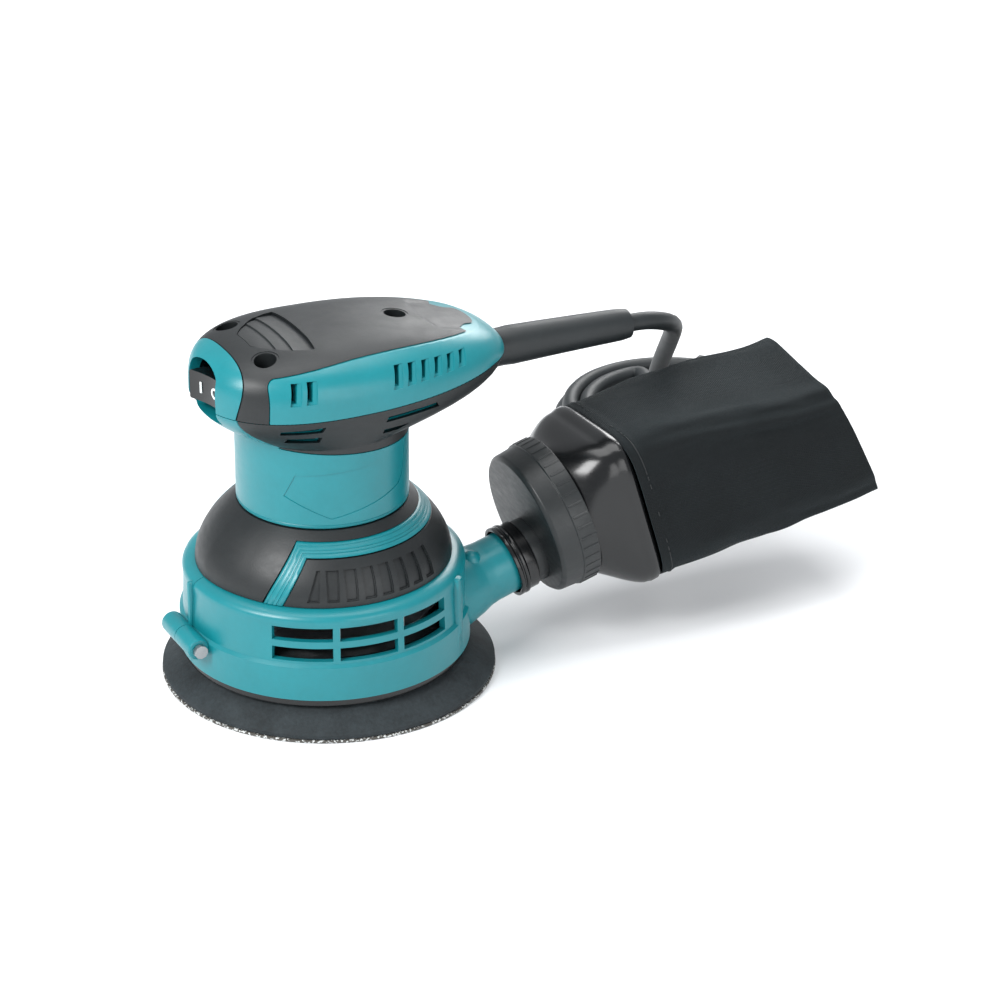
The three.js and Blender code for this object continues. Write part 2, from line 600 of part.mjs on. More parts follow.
// A cover that lies on the dome between two heights and two edges. Each edge gives the
// angle in degrees at a height.
function domeCover(low, high, fromEdge, toEdge, columns, rows) {
  const geometry = new THREE.BoxGeometry(1, 1, 1, columns, rows, 1);
  const position = geometry.attributes.position;
  for (let i = 0; i < position.count; i += 1) {
    const [u, v, w] = [position.getX(i) + 0.5, position.getY(i) + 0.5, position.getZ(i) + 0.5];
    const height = low + (high - low) * v;
    const angle = degrees(fromEdge(height) + (toEdge(height) - fromEdge(height)) * u);
    const radius = domeRadius(height) - (1 - w) * (DOME_SKIN - GAP);
    position.setXYZ(i, radius * Math.cos(angle), radius * Math.sin(angle), height);
  }
  return solid(geometry);
}

const ARCH_LOW = 63.6; // lower edge of the arch band at its corner
const ARCH_HIGH = 67.8;
const archOuter = (height) => 142.4 - ((height - domeBottom) * 12) / (ARCH_HIGH - domeBottom);
const archInner = (height) => 133 - ((height - domeBottom) * 9.5) / (ARCH_LOW - domeBottom);

function addDome() {
  const clearance = 0.45; // degrees
  const mirrored = (edge, shift) => [(h) => -edge(h) + shift, (h) => edge(h) - shift];
  // vent cover round the back, below the arch
  const ventCover = domeCover(domeBottom, ARCH_LOW - GAP, ...mirrored(archInner, clearance), 28, 4);
  add('vent_cover', ventCover, softBlack);

  // arch band: two legs and a hoop round the back
  const hoop = domeCover(ARCH_LOW, ARCH_HIGH, ...mirrored(archOuter, clearance), 28, 1);
  const leg = (side) => {
    const low = (h) => side * archInner(h);
    const high = (h) => side * (archOuter(h) - clearance);
    const edges = side > 0 ? [low, high] : [high, low];
    return domeCover(domeBottom, ARCH_LOW + 1, ...edges, 1, 4);
  };
  add('arch_band', join(hoop, leg(1), leg(-1)), teal);

  // front bib and the ring above the arch
  const ringBottom = ARCH_HIGH + GAP;
  const bib = domeCover(domeBottom, ringBottom + 1, archOuter, (h) => 360 - archOuter(h), 9, 5);
  const ringInset = DOME_SKIN - GAP - 0.05;
  const topRing = turned([
    [domeRadius(ringBottom) - 0.05, ringBottom],
    [domeRadius(DOME_TOP) - 0.05, DOME_TOP],
    [domeRadius(DOME_TOP) - ringInset, DOME_TOP],
    [domeRadius(ringBottom) - ringInset, ringBottom],
    [domeRadius(ringBottom) - 0.05, ringBottom],
  ]);
  add('dome_grip', join(bib, topRing), softBlack);
}

// where the cord enters, and the clamp that holds it inside
const guardStart = HANDLE_CENTRE + HANDLE_REAR - GUARD_INSIDE;
const clampX = guardStart - 7;
const clampScrews = [-CLAMP_SCREW_OFFSET, CLAMP_SCREW_OFFSET];

// ---------------------------------------------------------------- handle
const power = (value, exponent) =>
  (Math.abs(value) < 1e-9 ? 0 : Math.sign(value) * Math.abs(value) ** exponent);
const PLAN_EXPONENT = 2.4; // how square the handle is from above
const CROWN_EXPONENT = { front: 3.9, rear: 1.95 }; // and from the side
const FLARE_EXPONENT = { front: 1.7, rear: 2.6 }; // how full it is under the seam

// The upper half of the handle: an egg cut flat at the seam, with a straight wall below it.
function crown(inset, bottom, segments = 28, rows = 6) {
  return loft(segments, rows + 1, (angle, t, reach) => {
    const row = Math.round(t * (rows + 1));
    const rise = (Math.PI / 2) * (Math.max(row - 1, 0) / rows);
    const { front, rear } = CROWN_EXPONENT;
    const exponent = THREE.MathUtils.lerp(rear, front, 0.5 - 0.5 * Math.cos(angle));
    const spread = reach * power(Math.cos(rise), 2 / exponent);
    const length = Math.cos(angle) > 0 ? HANDLE_REAR : HANDLE_FRONT;
    const level = SEAM + (HANDLE_HEIGHT - inset) * Math.sin(rise) ** (2 / exponent);
    return [
      HANDLE_CENTRE + (length - inset) * power(Math.cos(angle), 2 / PLAN_EXPONENT) * spread,
      (HANDLE_HALF_WIDTH - inset) * power(Math.sin(angle), 2 / PLAN_EXPONENT) * spread,
      row === 0 ? bottom : Math.max(level, bottom),
    ];
  });
}

// The lower half: from the motor's round cylinder out to the handle's outline at the seam.
const FLARE_ROWS = 4;
function flare(inset, low, high, segments = 28) {
  return loft(segments, FLARE_ROWS + 2, (angle, t, reach) => {
    const row = Math.round(t * (FLARE_ROWS + 2)) - 1;
    const s = THREE.MathUtils.clamp(row / FLARE_ROWS, 0, 1);
    const station = COLLAR_BOTTOM + (SEAM - COLLAR_BOTTOM) * s + inset * (1 - s);
    const level = row < 0 ? low : row > FLARE_ROWS ? high : THREE.MathUtils.clamp(station, low, high);
    const centre = HANDLE_CENTRE * s;
    const reachOut = (end, exponent) => end + (MOTOR_RADIUS - end) * (1 - s) ** exponent;
    const front = reachOut(HANDLE_FRONT, FLARE_EXPONENT.front);
    const rear = reachOut(HANDLE_REAR, FLARE_EXPONENT.rear);
    const half = THREE.MathUtils.lerp(MOTOR_RADIUS, HANDLE_HALF_WIDTH, s);
    const exponent = 2 / THREE.MathUtils.lerp(2, PLAN_EXPONENT, s);
    const length = (Math.cos(angle) > 0 ? rear : front) - inset;
    return [
      centre + length * power(Math.cos(angle), exponent) * reach,
      (half - inset) * power(Math.sin(angle), exponent) * reach,
      level,
    ];
  });
}

// A slab with its front and back faces leaning: each face gives x at a height, and the
// faces run between two heights.
function leaningSlab(front, back, low, high, width = REACH) {
  const geometry = new THREE.BoxGeometry(1, width, 1);
  const position = geometry.attributes.position;
  for (let i = 0; i < position.count; i += 1) {
    const height = position.getZ(i) < 0 ? low : high;
    position.setX(i, position.getX(i) < 0 ? front(height) : back(height));
    position.setZ(i, height);
  }
  return solid(geometry);
}

const TOP = SEAM + HANDLE_HEIGHT;
const frameLine = (height) => -FRAME_BACK + (height - SEAM) * 0.25;

// The soft grip's region on the top cover, grown by a margin.
function gripRegion(margin) {
  const above = leaningSlab(() => -REACH, () => REACH, GRIP_LEVEL - margin, TOP + 20);
  const band = leaningSlab(
    () => -REACH,
    () => -PANEL_FRONT + margin,
    SEAM - 20,
    GRIP_LEVEL + 5,
  );
  const frame = leaningSlab(() => -REACH, (h) => frameLine(h) - margin, SEAM - 30, TOP + 30);
  return cut(join(above, band), frame);
}

// The arched pocket that the rocker sits in.
function switchPocket() {
  const [x, y, z] = ROCKER_PIVOT;
  const half = POCKET_WIDTH / 2;
  const outline = new THREE.Shape();
  outline.moveTo(-half, -POCKET.below);
  outline.lineTo(half, -POCKET.below);
  outline.lineTo(half, POCKET.above);
  outline.absellipse(0, POCKET.above, half, POCKET.arch, 0, Math.PI);
  outline.closePath();
  const settings = { depth: 40, bevelEnabled: false, curveSegments: 10 };
  const geometry = new THREE.ExtrudeGeometry(outline, settings);
  geometry.rotateX(Math.PI / 2).rotateZ(Math.PI / 2);
  return solid(geometry.translate(x + SWITCH_POCKET_DEPTH - 40, y, z));
}

function handleVents() {
  const cuts = [];
  for (const { first, pitch, count, width, height } of [HANDLE_VENTS_FRONT, HANDLE_VENTS_REAR]) {
    for (let i = 0; i < count; i += 1) {
      const tall = height * (1 - 0.05 * i);
      cuts.push(box([width, 2 * REACH, tall], [first + pitch * i, 0, HANDLE_VENT_LEVEL + 0.15 * i]));
    }
  }
  return join(...cuts);
}

function addHandle() {
  const coverBottom = SEAM + GAP / 2;
  const outer = crown(0, coverBottom);
  const skinInside = crown(DOME_SKIN - GAP, coverBottom - 1);
  const seat = crown(DOME_SKIN, coverBottom - 1);
  const cavity = crown(DOME_SKIN + HANDLE_WALL, coverBottom - 1, 24, 5);
  const wells = [];
  const screwHoles = [];
  for (const [x, y] of Object.values(COVER_SCREWS)) {
    wells.push(ring(SCREW_WELL, 0, TOP - WELL_DEPTH, TOP + 10, 12, x, y));
    screwHoles.push(ring(2.2, 0, SEAM - 20, TOP, 8, x, y));
  }
  const posts = Object.values(COVER_SCREWS).map(([x, y]) =>
    common(ring(SCREW_WELL + 2, 0, SEAM + 6, TOP, 12, x, y), crown(0.8, coverBottom)));
  const [guardX, guardZ] = [HANDLE_CENTRE + HANDLE_REAR, CORD_LEVEL];
  const guardHole = rod([guardX - 30, 0, guardZ], [guardX + 20, 0, guardZ], GUARD_ROOT_RADIUS + GAP, GUARD_ROOT_RADIUS + GAP, 16);

  const grip = common(cut(outer, skinInside), gripRegion(0));
  add('top_grip', cut(grip, ...wells), softBlack);

  const skinCut = common(cut(crown(-2, coverBottom - 1), seat), gripRegion(GAP));
  let cover = cut(outer, cavity, skinCut);
  const seatPosts = posts.map((post) => common(post, seat));
  cover = join(cover, ...seatPosts);
  add('top_cover', cut(cover, ...wells, ...screwHoles, guardHole, switchPocket(), handleVents()), teal);

  for (const [place, [x, y]] of Object.entries(COVER_SCREWS)) {
    const headBottom = TOP - WELL_DEPTH + GAP;
    const profile = [
      [0, SEAM - 4],
      [1.9, SEAM - 4],
      [1.9, headBottom],
      [COVER_SCREW_HEAD, headBottom],
      [COVER_SCREW_HEAD, headBottom + 2.4],
      [0, headBottom + 2.4],
    ];
    add(`cover_screw_${place}`, turned(profile, 10, x, y), steel);
  }

  addCasing(guardHole);
  addSwitch();
}

// The collar grip wraps the sides and the back under the seam, with the chin left bare.
function collarRegion(margin) {
  const chin = leaningSlab(() => -REACH, () => -8 - margin, COLLAR_BOTTOM - 30, SEAM + 30, 2 * (CHIN_HALF - margin));
  const rear = leaningSlab(
    (height) => HANDLE_CENTRE + 30 + (SEAM - height) * 1.06 + margin,
    () => REACH,
    COLLAR_BOTTOM - 30,
    SEAM + 30,
  );
  const slab = leaningSlab(() => -REACH, () => REACH, COLLAR_BOTTOM + 0.4 - margin, SEAM + 30);
  return cut(slab, chin, rear);
}

// The motor casing is one moulding: dome, cylinder, chin and the handle's underside.
function addCasing(guardHole) {
  const casingTop = SEAM - GAP / 2;
  const outer = join(
    turned(closedProfile([
      ...domeProfile(DOME_SKIN + 0.15, domeBottom, DOME_TOP, 5),
      [MOTOR_RADIUS - DOME_SKIN, DOME_TOP + GAP],
      [MOTOR_RADIUS, DOME_TOP + GAP],
      [MOTOR_RADIUS, COLLAR_BOTTOM + 1],
    ]), 28),
    flare(0, COLLAR_BOTTOM, casingTop),
  );
  const grip = common(
    cut(flare(0, COLLAR_BOTTOM, casingTop), flare(DOME_SKIN - GAP, COLLAR_BOTTOM - 1, casingTop + 1)),
    collarRegion(0),
  );
  add('collar_grip', grip, softBlack);

  const seatCut = common(
    cut(flare(-2, COLLAR_BOTTOM - 1, casingTop + 1), flare(DOME_SKIN, COLLAR_BOTTOM - 2, casingTop + 2)),
    collarRegion(GAP),
  );
  const inset = DOME_SKIN + HANDLE_WALL;
  const cavity = join(
    turned(closedProfile([
      [SKIRT_LIP_RADIUS - inset - 1, domeBottom - 1],
      ...domeProfile(inset, domeBottom, DOME_TOP - 2, 3),
      [MOTOR_RADIUS - MOTOR_WALL, DOME_TOP + 1],
      [MOTOR_RADIUS - MOTOR_WALL, COLLAR_BOTTOM + 2 + inset],
    ]), 28),
    flare(inset, COLLAR_BOTTOM + 1, casingTop + 1, 28),
  );
  const postBottom = COLLAR_BOTTOM - 1;
  const inner = join(flare(DOME_SKIN + 0.4, COLLAR_BOTTOM, casingTop), ring(MOTOR_RADIUS - 2, 0, postBottom - 1, COLLAR_BOTTOM + 2));
  const coverPosts = Object.values(COVER_SCREWS).map(([x, y]) => ring(4.4, 2.2, postBottom, casingTop, 10, x, y));
  const clampPosts = clampScrews.map((y) => ring(3.2, 1.8, CORD_LEVEL - 12, CORD_LEVEL + 1 - GAP, 8, clampX, y));
  const posts = [...coverPosts, ...clampPosts].map((post) => common(post, inner));
  const hollow = cut(outer, seatCut, cavity, guardHole, switchPocket());
  add('motor_casing', join(hollow, ...posts), teal);
}

function addSwitch() {
  const [x, y, z] = ROCKER_PIVOT;
  const [depth, width, height] = SWITCH_BODY;
  const bodyFront = x + 4;
  const body = box([depth, width, height], [bodyFront + depth / 2, y, z]);
  add('switch_body', body, nylon);
  const outline = new THREE.Shape();
  const half = ROCKER_LENGTH / 2;
  outline.moveTo(-1.5, -half + 1);
  outline.lineTo(3, -2);
  outline.lineTo(3, 2);
  outline.lineTo(-1.5, half - 1);
  outline.lineTo(-ROCKER_DEPTH + 1.2, half);
  outline.quadraticCurveTo(-ROCKER_DEPTH + 3, 0, -ROCKER_DEPTH + 1.2, -half);
  outline.closePath();
  const rocker = new THREE.ExtrudeGeometry(outline, { depth: ROCKER_HEIGHT, bevelEnabled: false, curveSegments: 8 });
  rocker.translate(0, 0, -ROCKER_HEIGHT / 2).rotateZ(degrees(ROCKER_REST)).translate(x, y, z);
  add('switch_rocker', solid(rocker), glossBlack);
}

// ---------------------------------------------------------------- cord
const cordExit = [HANDLE_CENTRE + HANDLE_REAR + GUARD_LENGTH - 1, 0, CORD_LEVEL - 1.2];
const coilOuter = COIL_TURN_RADIUS + (COIL_LAYERS * CORD_DIAMETER) / 2;
const coilInner = COIL_TURN_RADIUS - (COIL_LAYERS * CORD_DIAMETER) / 2;
const CORD_ROUTE = [
  [127.6, 0, 113.8],
  [136, 0.6, 113],
  [146, 4.5, 109.2],
  [155, 13, 102.5],
  [161, 25, 92],
  [164.5, 38, 76],
  [166, 49, 56],
  [165.5, 57.5, 35],
  [163.5, 65, 17],
  [160.5, 74.5, 6.5],
  [157.8, 87, 3.6],
  [157.2, 100, 3.6],
  [160.2, 120, 3.6],
];

function addCord() {
  const bend = (t) => CORD_LEVEL - 1.2 * t * t;
  const guard = loft(14, 4, (angle, t, reach) => {
    const radius = THREE.MathUtils.lerp(GUARD_ROOT_RADIUS, GUARD_END_RADIUS, t) * reach;
    const x = guardStart + (cordExit[0] - guardStart) * t;
    return [x, radius * Math.sin(angle), bend(t) + radius * Math.cos(angle)];
  });
  const flange = common(
    rod([guardStart, 0, CORD_LEVEL], [guardStart + 2.5, 0, CORD_LEVEL], 8.5, 8.5, 14),
    box([10, 30, 14], [guardStart, 0, CORD_LEVEL + 3]),
  );
  add('cord_guard', join(guard, flange), rubber);

  const clampLow = CORD_LEVEL - 5;
  const saddle = cut(
    box([8, 20, 6], [clampX, 0, CORD_LEVEL + 4]),
    rod([clampX - 9, 0, CORD_LEVEL], [clampX + 9, 0, CORD_LEVEL], CORD_DIAMETER / 2 + GAP, CORD_DIAMETER / 2 + GAP, 12),
  );
  const holes = clampScrews.map((y) => ring(1.8, 0, CORD_LEVEL - 10, CORD_LEVEL + 10, 8, clampX, y));
  add('cord_clamp', cut(saddle, ...holes), nylon);
  clampScrews.forEach((y, i) => {
    const top = CORD_LEVEL + 7 + GAP;
    const profile = [[0, clampLow], [1.5, clampLow], [1.5, top], [3, top], [3, top + 2], [0, top + 2]];
    add(`clamp_screw_${i + 1}`, turned(profile, 8, clampX, y), steel);
  });
  const lead = [[clampX - 10, 0, CORD_LEVEL], [clampX, 0, CORD_LEVEL], [guardStart - GAP, 0, CORD_LEVEL]];
  add('inner_lead', tube(lead, CORD_DIAMETER / 2, 2, 8), rubber);

  add('cord_tube', tube(CORD_ROUTE, CORD_DIAMETER / 2, 26, 8), rubber);
  const [cx, cy] = COIL_CENTRE;
  const coil = turned([
    [coilInner, 1.6],
    [coilInner + 1.6, 0],
    [coilOuter - 1.6, 0],
    [coilOuter, 1.6],
    [coilOuter, COIL_HEIGHT - 3],
    [coilOuter - 3, COIL_HEIGHT],
    [coilInner + 3, COIL_HEIGHT],
    [coilInner, COIL_HEIGHT - 3],
    [coilInner, 1.6],
  ], 28, cx, cy);
  add('cord_coil', coil, rubber);

  const plugBottom = COIL_HEIGHT + GAP;
  const plugMiddle = plugBottom + PLUG.height / 2;
  const outline = new THREE.Shape();
  const [front, back] = [PLUG.length / 2, -PLUG.length / 2];
  outline.moveTo(back, -4);
  outline.lineTo(back + 12, -PLUG.width / 2 + 1.5);
  outline.lineTo(front, -PLUG.width / 2);
  outline.lineTo(front, PLUG.width / 2);
  outline.lineTo(back + 12, PLUG.width / 2 - 1.5);
  outline.lineTo(back, 4);
  outline.closePath();
  const plug = new THREE.ExtrudeGeometry(outline, { depth: PLUG.height, bevelEnabled: false });
  const [px, py] = [cx + PLUG.shift, cy - COIL_TURN_RADIUS]; // it lies on the coil's near side
  add('plug', solid(plug.translate(px, py, plugBottom)), softBlack);
  [-1, 1].forEach((side, i) => {
    const y = py + (side * PIN.pitch) / 2;
    const from = px + front + GAP;
    const pin = rod([from, y, plugMiddle], [from + PIN.length, y, plugMiddle], PIN.radius, PIN.radius, 8);
    add(`plug_pin_${i + 1}`, pin, brass);
  });
}

// ---------------------------------------------------------------- dust bag
// The bag's pieces are laid out along the spout and rolled a little about it.
function alongSpout(geometry) {
  geometry.rotateX(degrees(BAG_ROLL)).rotateY(-degrees(SPOUT_TILT));
  return solid(geometry.translate(...SPOUT_ROOT));
}
// A turned piece about a line parallel to the spout, at a height over it.
function bagTurned(profile, rise, segments) {
  const points = profile.map(([radius, along]) => new THREE.Vector2(radius, along));
  const geometry = new THREE.LatheGeometry(points, segments).rotateZ(-Math.PI / 2);
  return alongSpout(geometry.translate(0, 0, rise));
}

// A section that goes from a circle to a rounded rectangle.
function bagSection(angle, [width, height], squareness) {
  const exponent = 2 / THREE.MathUtils.lerp(2, 6, squareness);
  return [(width / 2) * power(Math.sin(angle), exponent), (height / 2) * power(Math.cos(angle), exponent)];
}

function bagLoft(segments, rows, shape) {
  const geometry = new THREE.CylinderGeometry(1, 1, 1, segments, rows);
  const position = geometry.attributes.position;
  for (let i = 0; i < position.count; i += 1) {
    const [x, y, z] = [position.getX(i), position.getY(i), position.getZ(i)];
    position.setXYZ(i, ...shape(Math.atan2(x, z), y + 0.5, Math.min(1, Math.hypot(x, z))));
  }
  return alongSpout(geometry);
}

function addBag() {
  const cuffBore = SPOUT_END_RADIUS + 1;
  const cuff = bagTurned([
    [cuffBore, CUFF.start + 1],
    [CUFF.radius, CUFF.start + 1],
    [CUFF.radius, CUFF.end],
    [cuffBore, CUFF.end],
    [cuffBore, CUFF.start + 1],
  ], 0, 24);
  add('bag_cuff', cuff, glossBlack);

  const inletStart = CUFF.end + GAP;
  const drumEnd = DRUM.start + DRUM.depth;
  const inletBore = SPOUT_BORE;
  const inlet = bagTurned([
    [inletBore, inletStart],
    [INLET_RADIUS, inletStart],
    [INLET_RADIUS, DRUM.start + 1.5],
    [inletBore, DRUM.start + 1.5],
    [inletBore, inletStart],
  ], 0, 20);
  const drumShell = bagTurned([
    [0, DRUM.start],
    [DRUM.radius - 1.2, DRUM.start],
    [DRUM.radius, DRUM.start + 1.2],
    [DRUM.radius + 1, drumEnd],
    [DRUM.radius - 1.4, drumEnd],
    [DRUM.radius - 2, DRUM.start + 2.4],
    [0, DRUM.start + 2.4],
  ], DRUM.rise, 28);
  const mouth = bagTurned([[0, inletStart - 1], [inletBore, inletStart - 1], [inletBore, drumEnd], [0, drumEnd]], 0, 16);
  add('bag_inlet', cut(join(inlet, drumShell), mouth), softBlack);

  // The frame is a funnel from the drum's round end to the bag's rectangular mouth.
  const frameStart = drumEnd + GAP;
  const frameEnd = frameStart + FRAME_DEPTH;
  const funnel = (inset, from, to) => bagLoft(28, 3, (angle, t, reach) => {
    const along = from + (to - from) * t;
    const s = THREE.MathUtils.clamp((along - frameStart) / (FRAME_DEPTH * 0.7), 0, 1);
    const round = 2 * (DRUM.radius - 0.5);
    const size = FRAME_SIZE.map((full) => THREE.MathUtils.lerp(round, full, s) - 2 * inset);
    const [side, up] = bagSection(angle, size, s);
    return [along, side * reach, DRUM.rise * (1 - 0.35 * s) + up * reach];
  });
  const funnelHole = funnel(2, frameStart - 1, frameEnd + 1);
  add('bag_frame', cut(funnel(0, frameStart, frameEnd), funnelHole), glossBlack);

  const bagStart = frameEnd + GAP;
  const bag = bagLoft(28, 4, (angle, t, reach) => {
    const swell = 1 + 0.03 * Math.sin(Math.PI * t);
    const size = BAG_SIZE.map((full) => full * swell);
    const [side, up] = bagSection(angle, size, 0.9);
    return [bagStart + BAG_LENGTH * t, side * reach, DRUM.rise * 0.65 - BAG_SAG * t + up * reach];
  });
  add('dust_bag', bag, cloth);
}

addPad();
addArmature();
addMotor();
addSkirt();
addDome();
addHandle();
addCord();
addBag();

export default part;
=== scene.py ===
import math

import bmesh
import bpy
from bpy.props import FloatProperty, FloatVectorProperty, PointerProperty
from mathutils import Matrix, Vector, noise


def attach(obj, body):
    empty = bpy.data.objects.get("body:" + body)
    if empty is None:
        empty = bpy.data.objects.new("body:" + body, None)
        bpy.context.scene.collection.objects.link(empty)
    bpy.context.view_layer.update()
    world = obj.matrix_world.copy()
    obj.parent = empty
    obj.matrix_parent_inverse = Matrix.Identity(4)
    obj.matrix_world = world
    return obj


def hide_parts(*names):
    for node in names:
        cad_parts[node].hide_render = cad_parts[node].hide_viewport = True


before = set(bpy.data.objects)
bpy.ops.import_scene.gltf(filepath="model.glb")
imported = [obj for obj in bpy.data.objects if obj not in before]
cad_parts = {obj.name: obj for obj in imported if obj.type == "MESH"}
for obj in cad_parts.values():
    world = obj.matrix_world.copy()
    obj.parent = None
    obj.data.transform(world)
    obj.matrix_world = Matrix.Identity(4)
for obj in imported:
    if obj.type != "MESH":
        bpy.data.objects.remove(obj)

bl_info = {
    "name": "Orbital Sander Kit",
    "version": (1, 0, 0),
    "blender": (4, 5, 0),
    "location": "View3D > Sidebar > Sander",
    "description": "Builds a palm sander with a dust bag and a coiled cord around its CAD frame",
    "category": "Object",
}

# Shapes are worked out in millimetres and scaled to metres as each piece is finished.
MM = 0.001
TURN = 2 * math.pi


class SanderSizes(bpy.types.PropertyGroup):
    """Sizes that a user would change."""

    cord_length: FloatProperty(name="Cord length", description="Real length of the mains cord", default=2.0, unit="LENGTH")
    cord_diameter: FloatProperty(name="Cord diameter", description="Diameter of the mains cord", default=0.007, unit="LENGTH")
    seam_gap: FloatProperty(name="Seam gap", description="Gap between the soft grips and the shells, in millimetres", default=0.35)
    edge: FloatProperty(name="Edge rounding", description="Width of the rounded edges, in millimetres", default=0.35)
    grip_skin: FloatProperty(name="Grip thickness", description="Thickness of the soft grips, in millimetres", default=1.4)
    fold_depth: FloatProperty(name="Fold depth", description="Depth of the folds in the dust bag, in millimetres", default=1.6)
    bag_length: FloatProperty(name="Bag length", description="Length of the cloth bag, in millimetres", default=88.0)
    grit: FloatProperty(name="Grit size", description="Size of the abrasive's grains", default=0.0005, unit="LENGTH")


class SanderColours(bpy.types.PropertyGroup):
    """Colours that a user would change."""

    shell: FloatVectorProperty(name="Shell", description="Moulded casing", subtype="COLOR", size=3, default=(0.004, 0.185, 0.215))
    grip: FloatVectorProperty(name="Soft grip", description="Overmoulded grips", subtype="COLOR", size=3, default=(0.0068, 0.0092, 0.0102))
    gloss: FloatVectorProperty(name="Black plastic", description="Glossy black mouldings", subtype="COLOR", size=3, default=(0.004, 0.0045, 0.005))
    matt: FloatVectorProperty(name="Dark plastic", description="Matt dark mouldings", subtype="COLOR", size=3, default=(0.009, 0.0115, 0.0125))
    cloth: FloatVectorProperty(name="Bag cloth", description="Woven cloth of the bag", subtype="COLOR", size=3, default=(0.0028, 0.0042, 0.005))
    foam: FloatVectorProperty(name="Pad", description="Foam of the pad", subtype="COLOR", size=3, default=(0.022, 0.028, 0.031))
    abrasive: FloatVectorProperty(name="Abrasive", description="Coated abrasive disc", subtype="COLOR", size=3, default=(0.09, 0.085, 0.075))
    rubber: FloatVectorProperty(name="Cord", description="Sheath of the cord and its guard", subtype="COLOR", size=3, default=(0.011, 0.0145, 0.016))
    mark: FloatVectorProperty(name="Switch marks", description="Printed marks on the rocker", subtype="COLOR", size=3, default=(0.75, 0.78, 0.78))
    floor: FloatVectorProperty(name="Floor", description="Studio floor", subtype="COLOR", size=3, default=(0.86, 0.87, 0.88))


# ---------------------------------------------------------------- materials
class Value:
    """A socket of a material. Sums and products of values add their Math nodes."""

    def __init__(self, finish, socket):
        self.finish = finish
        self.socket = socket

    def combine(self, operation, first, second):
        return self.finish.node("ShaderNodeMath", {"operation": operation}, {0: first, 1: second})

    def __add__(self, other):
        return self.combine("ADD", self, other)

    def __radd__(self, other):
        return self.combine("ADD", other, self)

    def __sub__(self, other):
        return self.combine("SUBTRACT", self, other)

    def __rsub__(self, other):
        return self.combine("SUBTRACT", other, self)

    def __mul__(self, other):
        return self.combine("MULTIPLY", self, other)

    def __rmul__(self, other):
        return self.combine("MULTIPLY", other, self)

    def __pow__(self, other):
        return self.combine("POWER", self, other)

    def __gt__(self, other):
        return self.combine("GREATER_THAN", self, other)


class Finish:
    """A material being built from a principled shader and procedural nodes."""

    def __init__(self, name, **constants):
        self.material = bpy.data.materials.new(name)
        self.material.use_nodes = True
        self.tree = self.material.node_tree
        self.shader = next(n for n in self.tree.nodes if n.type == "BSDF_PRINCIPLED")
        for socket, value in constants.items():
            self.shader.inputs[socket.replace("_", " ")].default_value = value
        self.place = self.node("ShaderNodeTexCoord", {}, {}, "Object")

    def node(self, kind, settings, sockets, output=0):
        """Adds a node of a type, sets its settings, fills its sockets and gives one output."""
        made = self.tree.nodes.new(kind)
        stops = settings.pop("stops", None)
        for key, value in settings.items():
            setattr(made, key, value)
        if stops:
            for element, (position, level) in zip(made.color_ramp.elements, stops):
                element.position = position
                element.color = (level, level, level, 1)
        for key, value in sockets.items():
            if isinstance(value, Value):
                self.tree.links.new(value.socket, made.inputs[key])
            else:
                made.inputs[key].default_value = value
        return Value(self, made.outputs[output])

    def noise(self, size, detail=2.0, stretch=(1, 1, 1), roughness=0.5, place=None):
        """Cloudy noise whose features are about the given size in metres."""
        where = self.node("ShaderNodeMapping", {}, {"Vector": place or self.place, "Scale": stretch})
        sockets = {"Vector": where, "Scale": 1 / size, "Detail": detail, "Roughness": roughness}
        return self.node("ShaderNodeTexNoise", {}, sockets)

    def contrast(self, value, low, high):
        """Stretches the range between two levels to 0 and 1."""
        return self.node("ShaderNodeValToRGB", {"stops": [(low, 0.0), (high, 1.0)]}, {0: value})

    def mix(self, share, first, second):
        def rgba(colour):
            return colour if isinstance(colour, Value) else (*colour, 1)
        sockets = {0: share, 6: rgba(first), 7: rgba(second)}
        return self.node("ShaderNodeMix", {"data_type": "RGBA"}, sockets, 2)

    def wave(self, value):
        return self.node("ShaderNodeMath", {"operation": "SINE"}, {0: value})

    def split(self, vector, output):
        return self.node("ShaderNodeSeparateXYZ", {}, {0: vector}, output)

    def set(self, socket, value):
        self.tree.links.new(value.socket, self.shader.inputs[socket])
        return self

    def bump(self, height, depth, strength=1.0):
        """Raises the surface by a height that runs from 0 to a depth in metres."""
        sockets = {"Strength": strength, "Distance": depth, "Height": height}
        return self.set("Normal", self.node("ShaderNodeBump", {}, sockets))


def shade(colour, factor):
    return tuple(channel * factor for channel in colour)


def moulded(name, colour, gloss, grain, **constants):
    """Moulded plastic or rubber: a faint cloud in its colour and gloss, and a fine moulded grain."""
    spread, variation = gloss[1], gloss[2]
    size, depth = grain
    finish = Finish(name, **constants)
    cloud = finish.noise(0.018, 4.0, roughness=0.6)
    speck = finish.noise(size * 3, 3.0)
    tint = finish.mix(finish.contrast(cloud * 0.7 + speck * 0.3, 0.3, 0.7), shade(colour, 1 - variation), shade(colour, 1 + variation))
    streak = finish.noise(0.006, 5.0, (1, 1, 3), 0.65)
    finish.set("Base Color", tint)
    finish.set("Roughness", (streak - 0.5) * spread + gloss[0])
    fine = finish.noise(size, 2.0)
    finish.bump(fine + cloud * 0.5, depth)
    return finish.material


def metal(name, colour, roughness, stretch, **constants):
    """Machined metal with fine brush marks."""
    finish = Finish(name, Metallic=1.0, **constants)
    brush = finish.noise(0.0006, 4.0, stretch, 0.7)
    cloud = finish.noise(0.008, 3.0)
    finish.set("Base Color", finish.mix(cloud, shade(colour, 0.75), shade(colour, 1.1)))
    finish.set("Roughness", (brush - 0.5) * 0.35 + roughness)
    finish.bump(brush, 0.00002)
    return finish.material


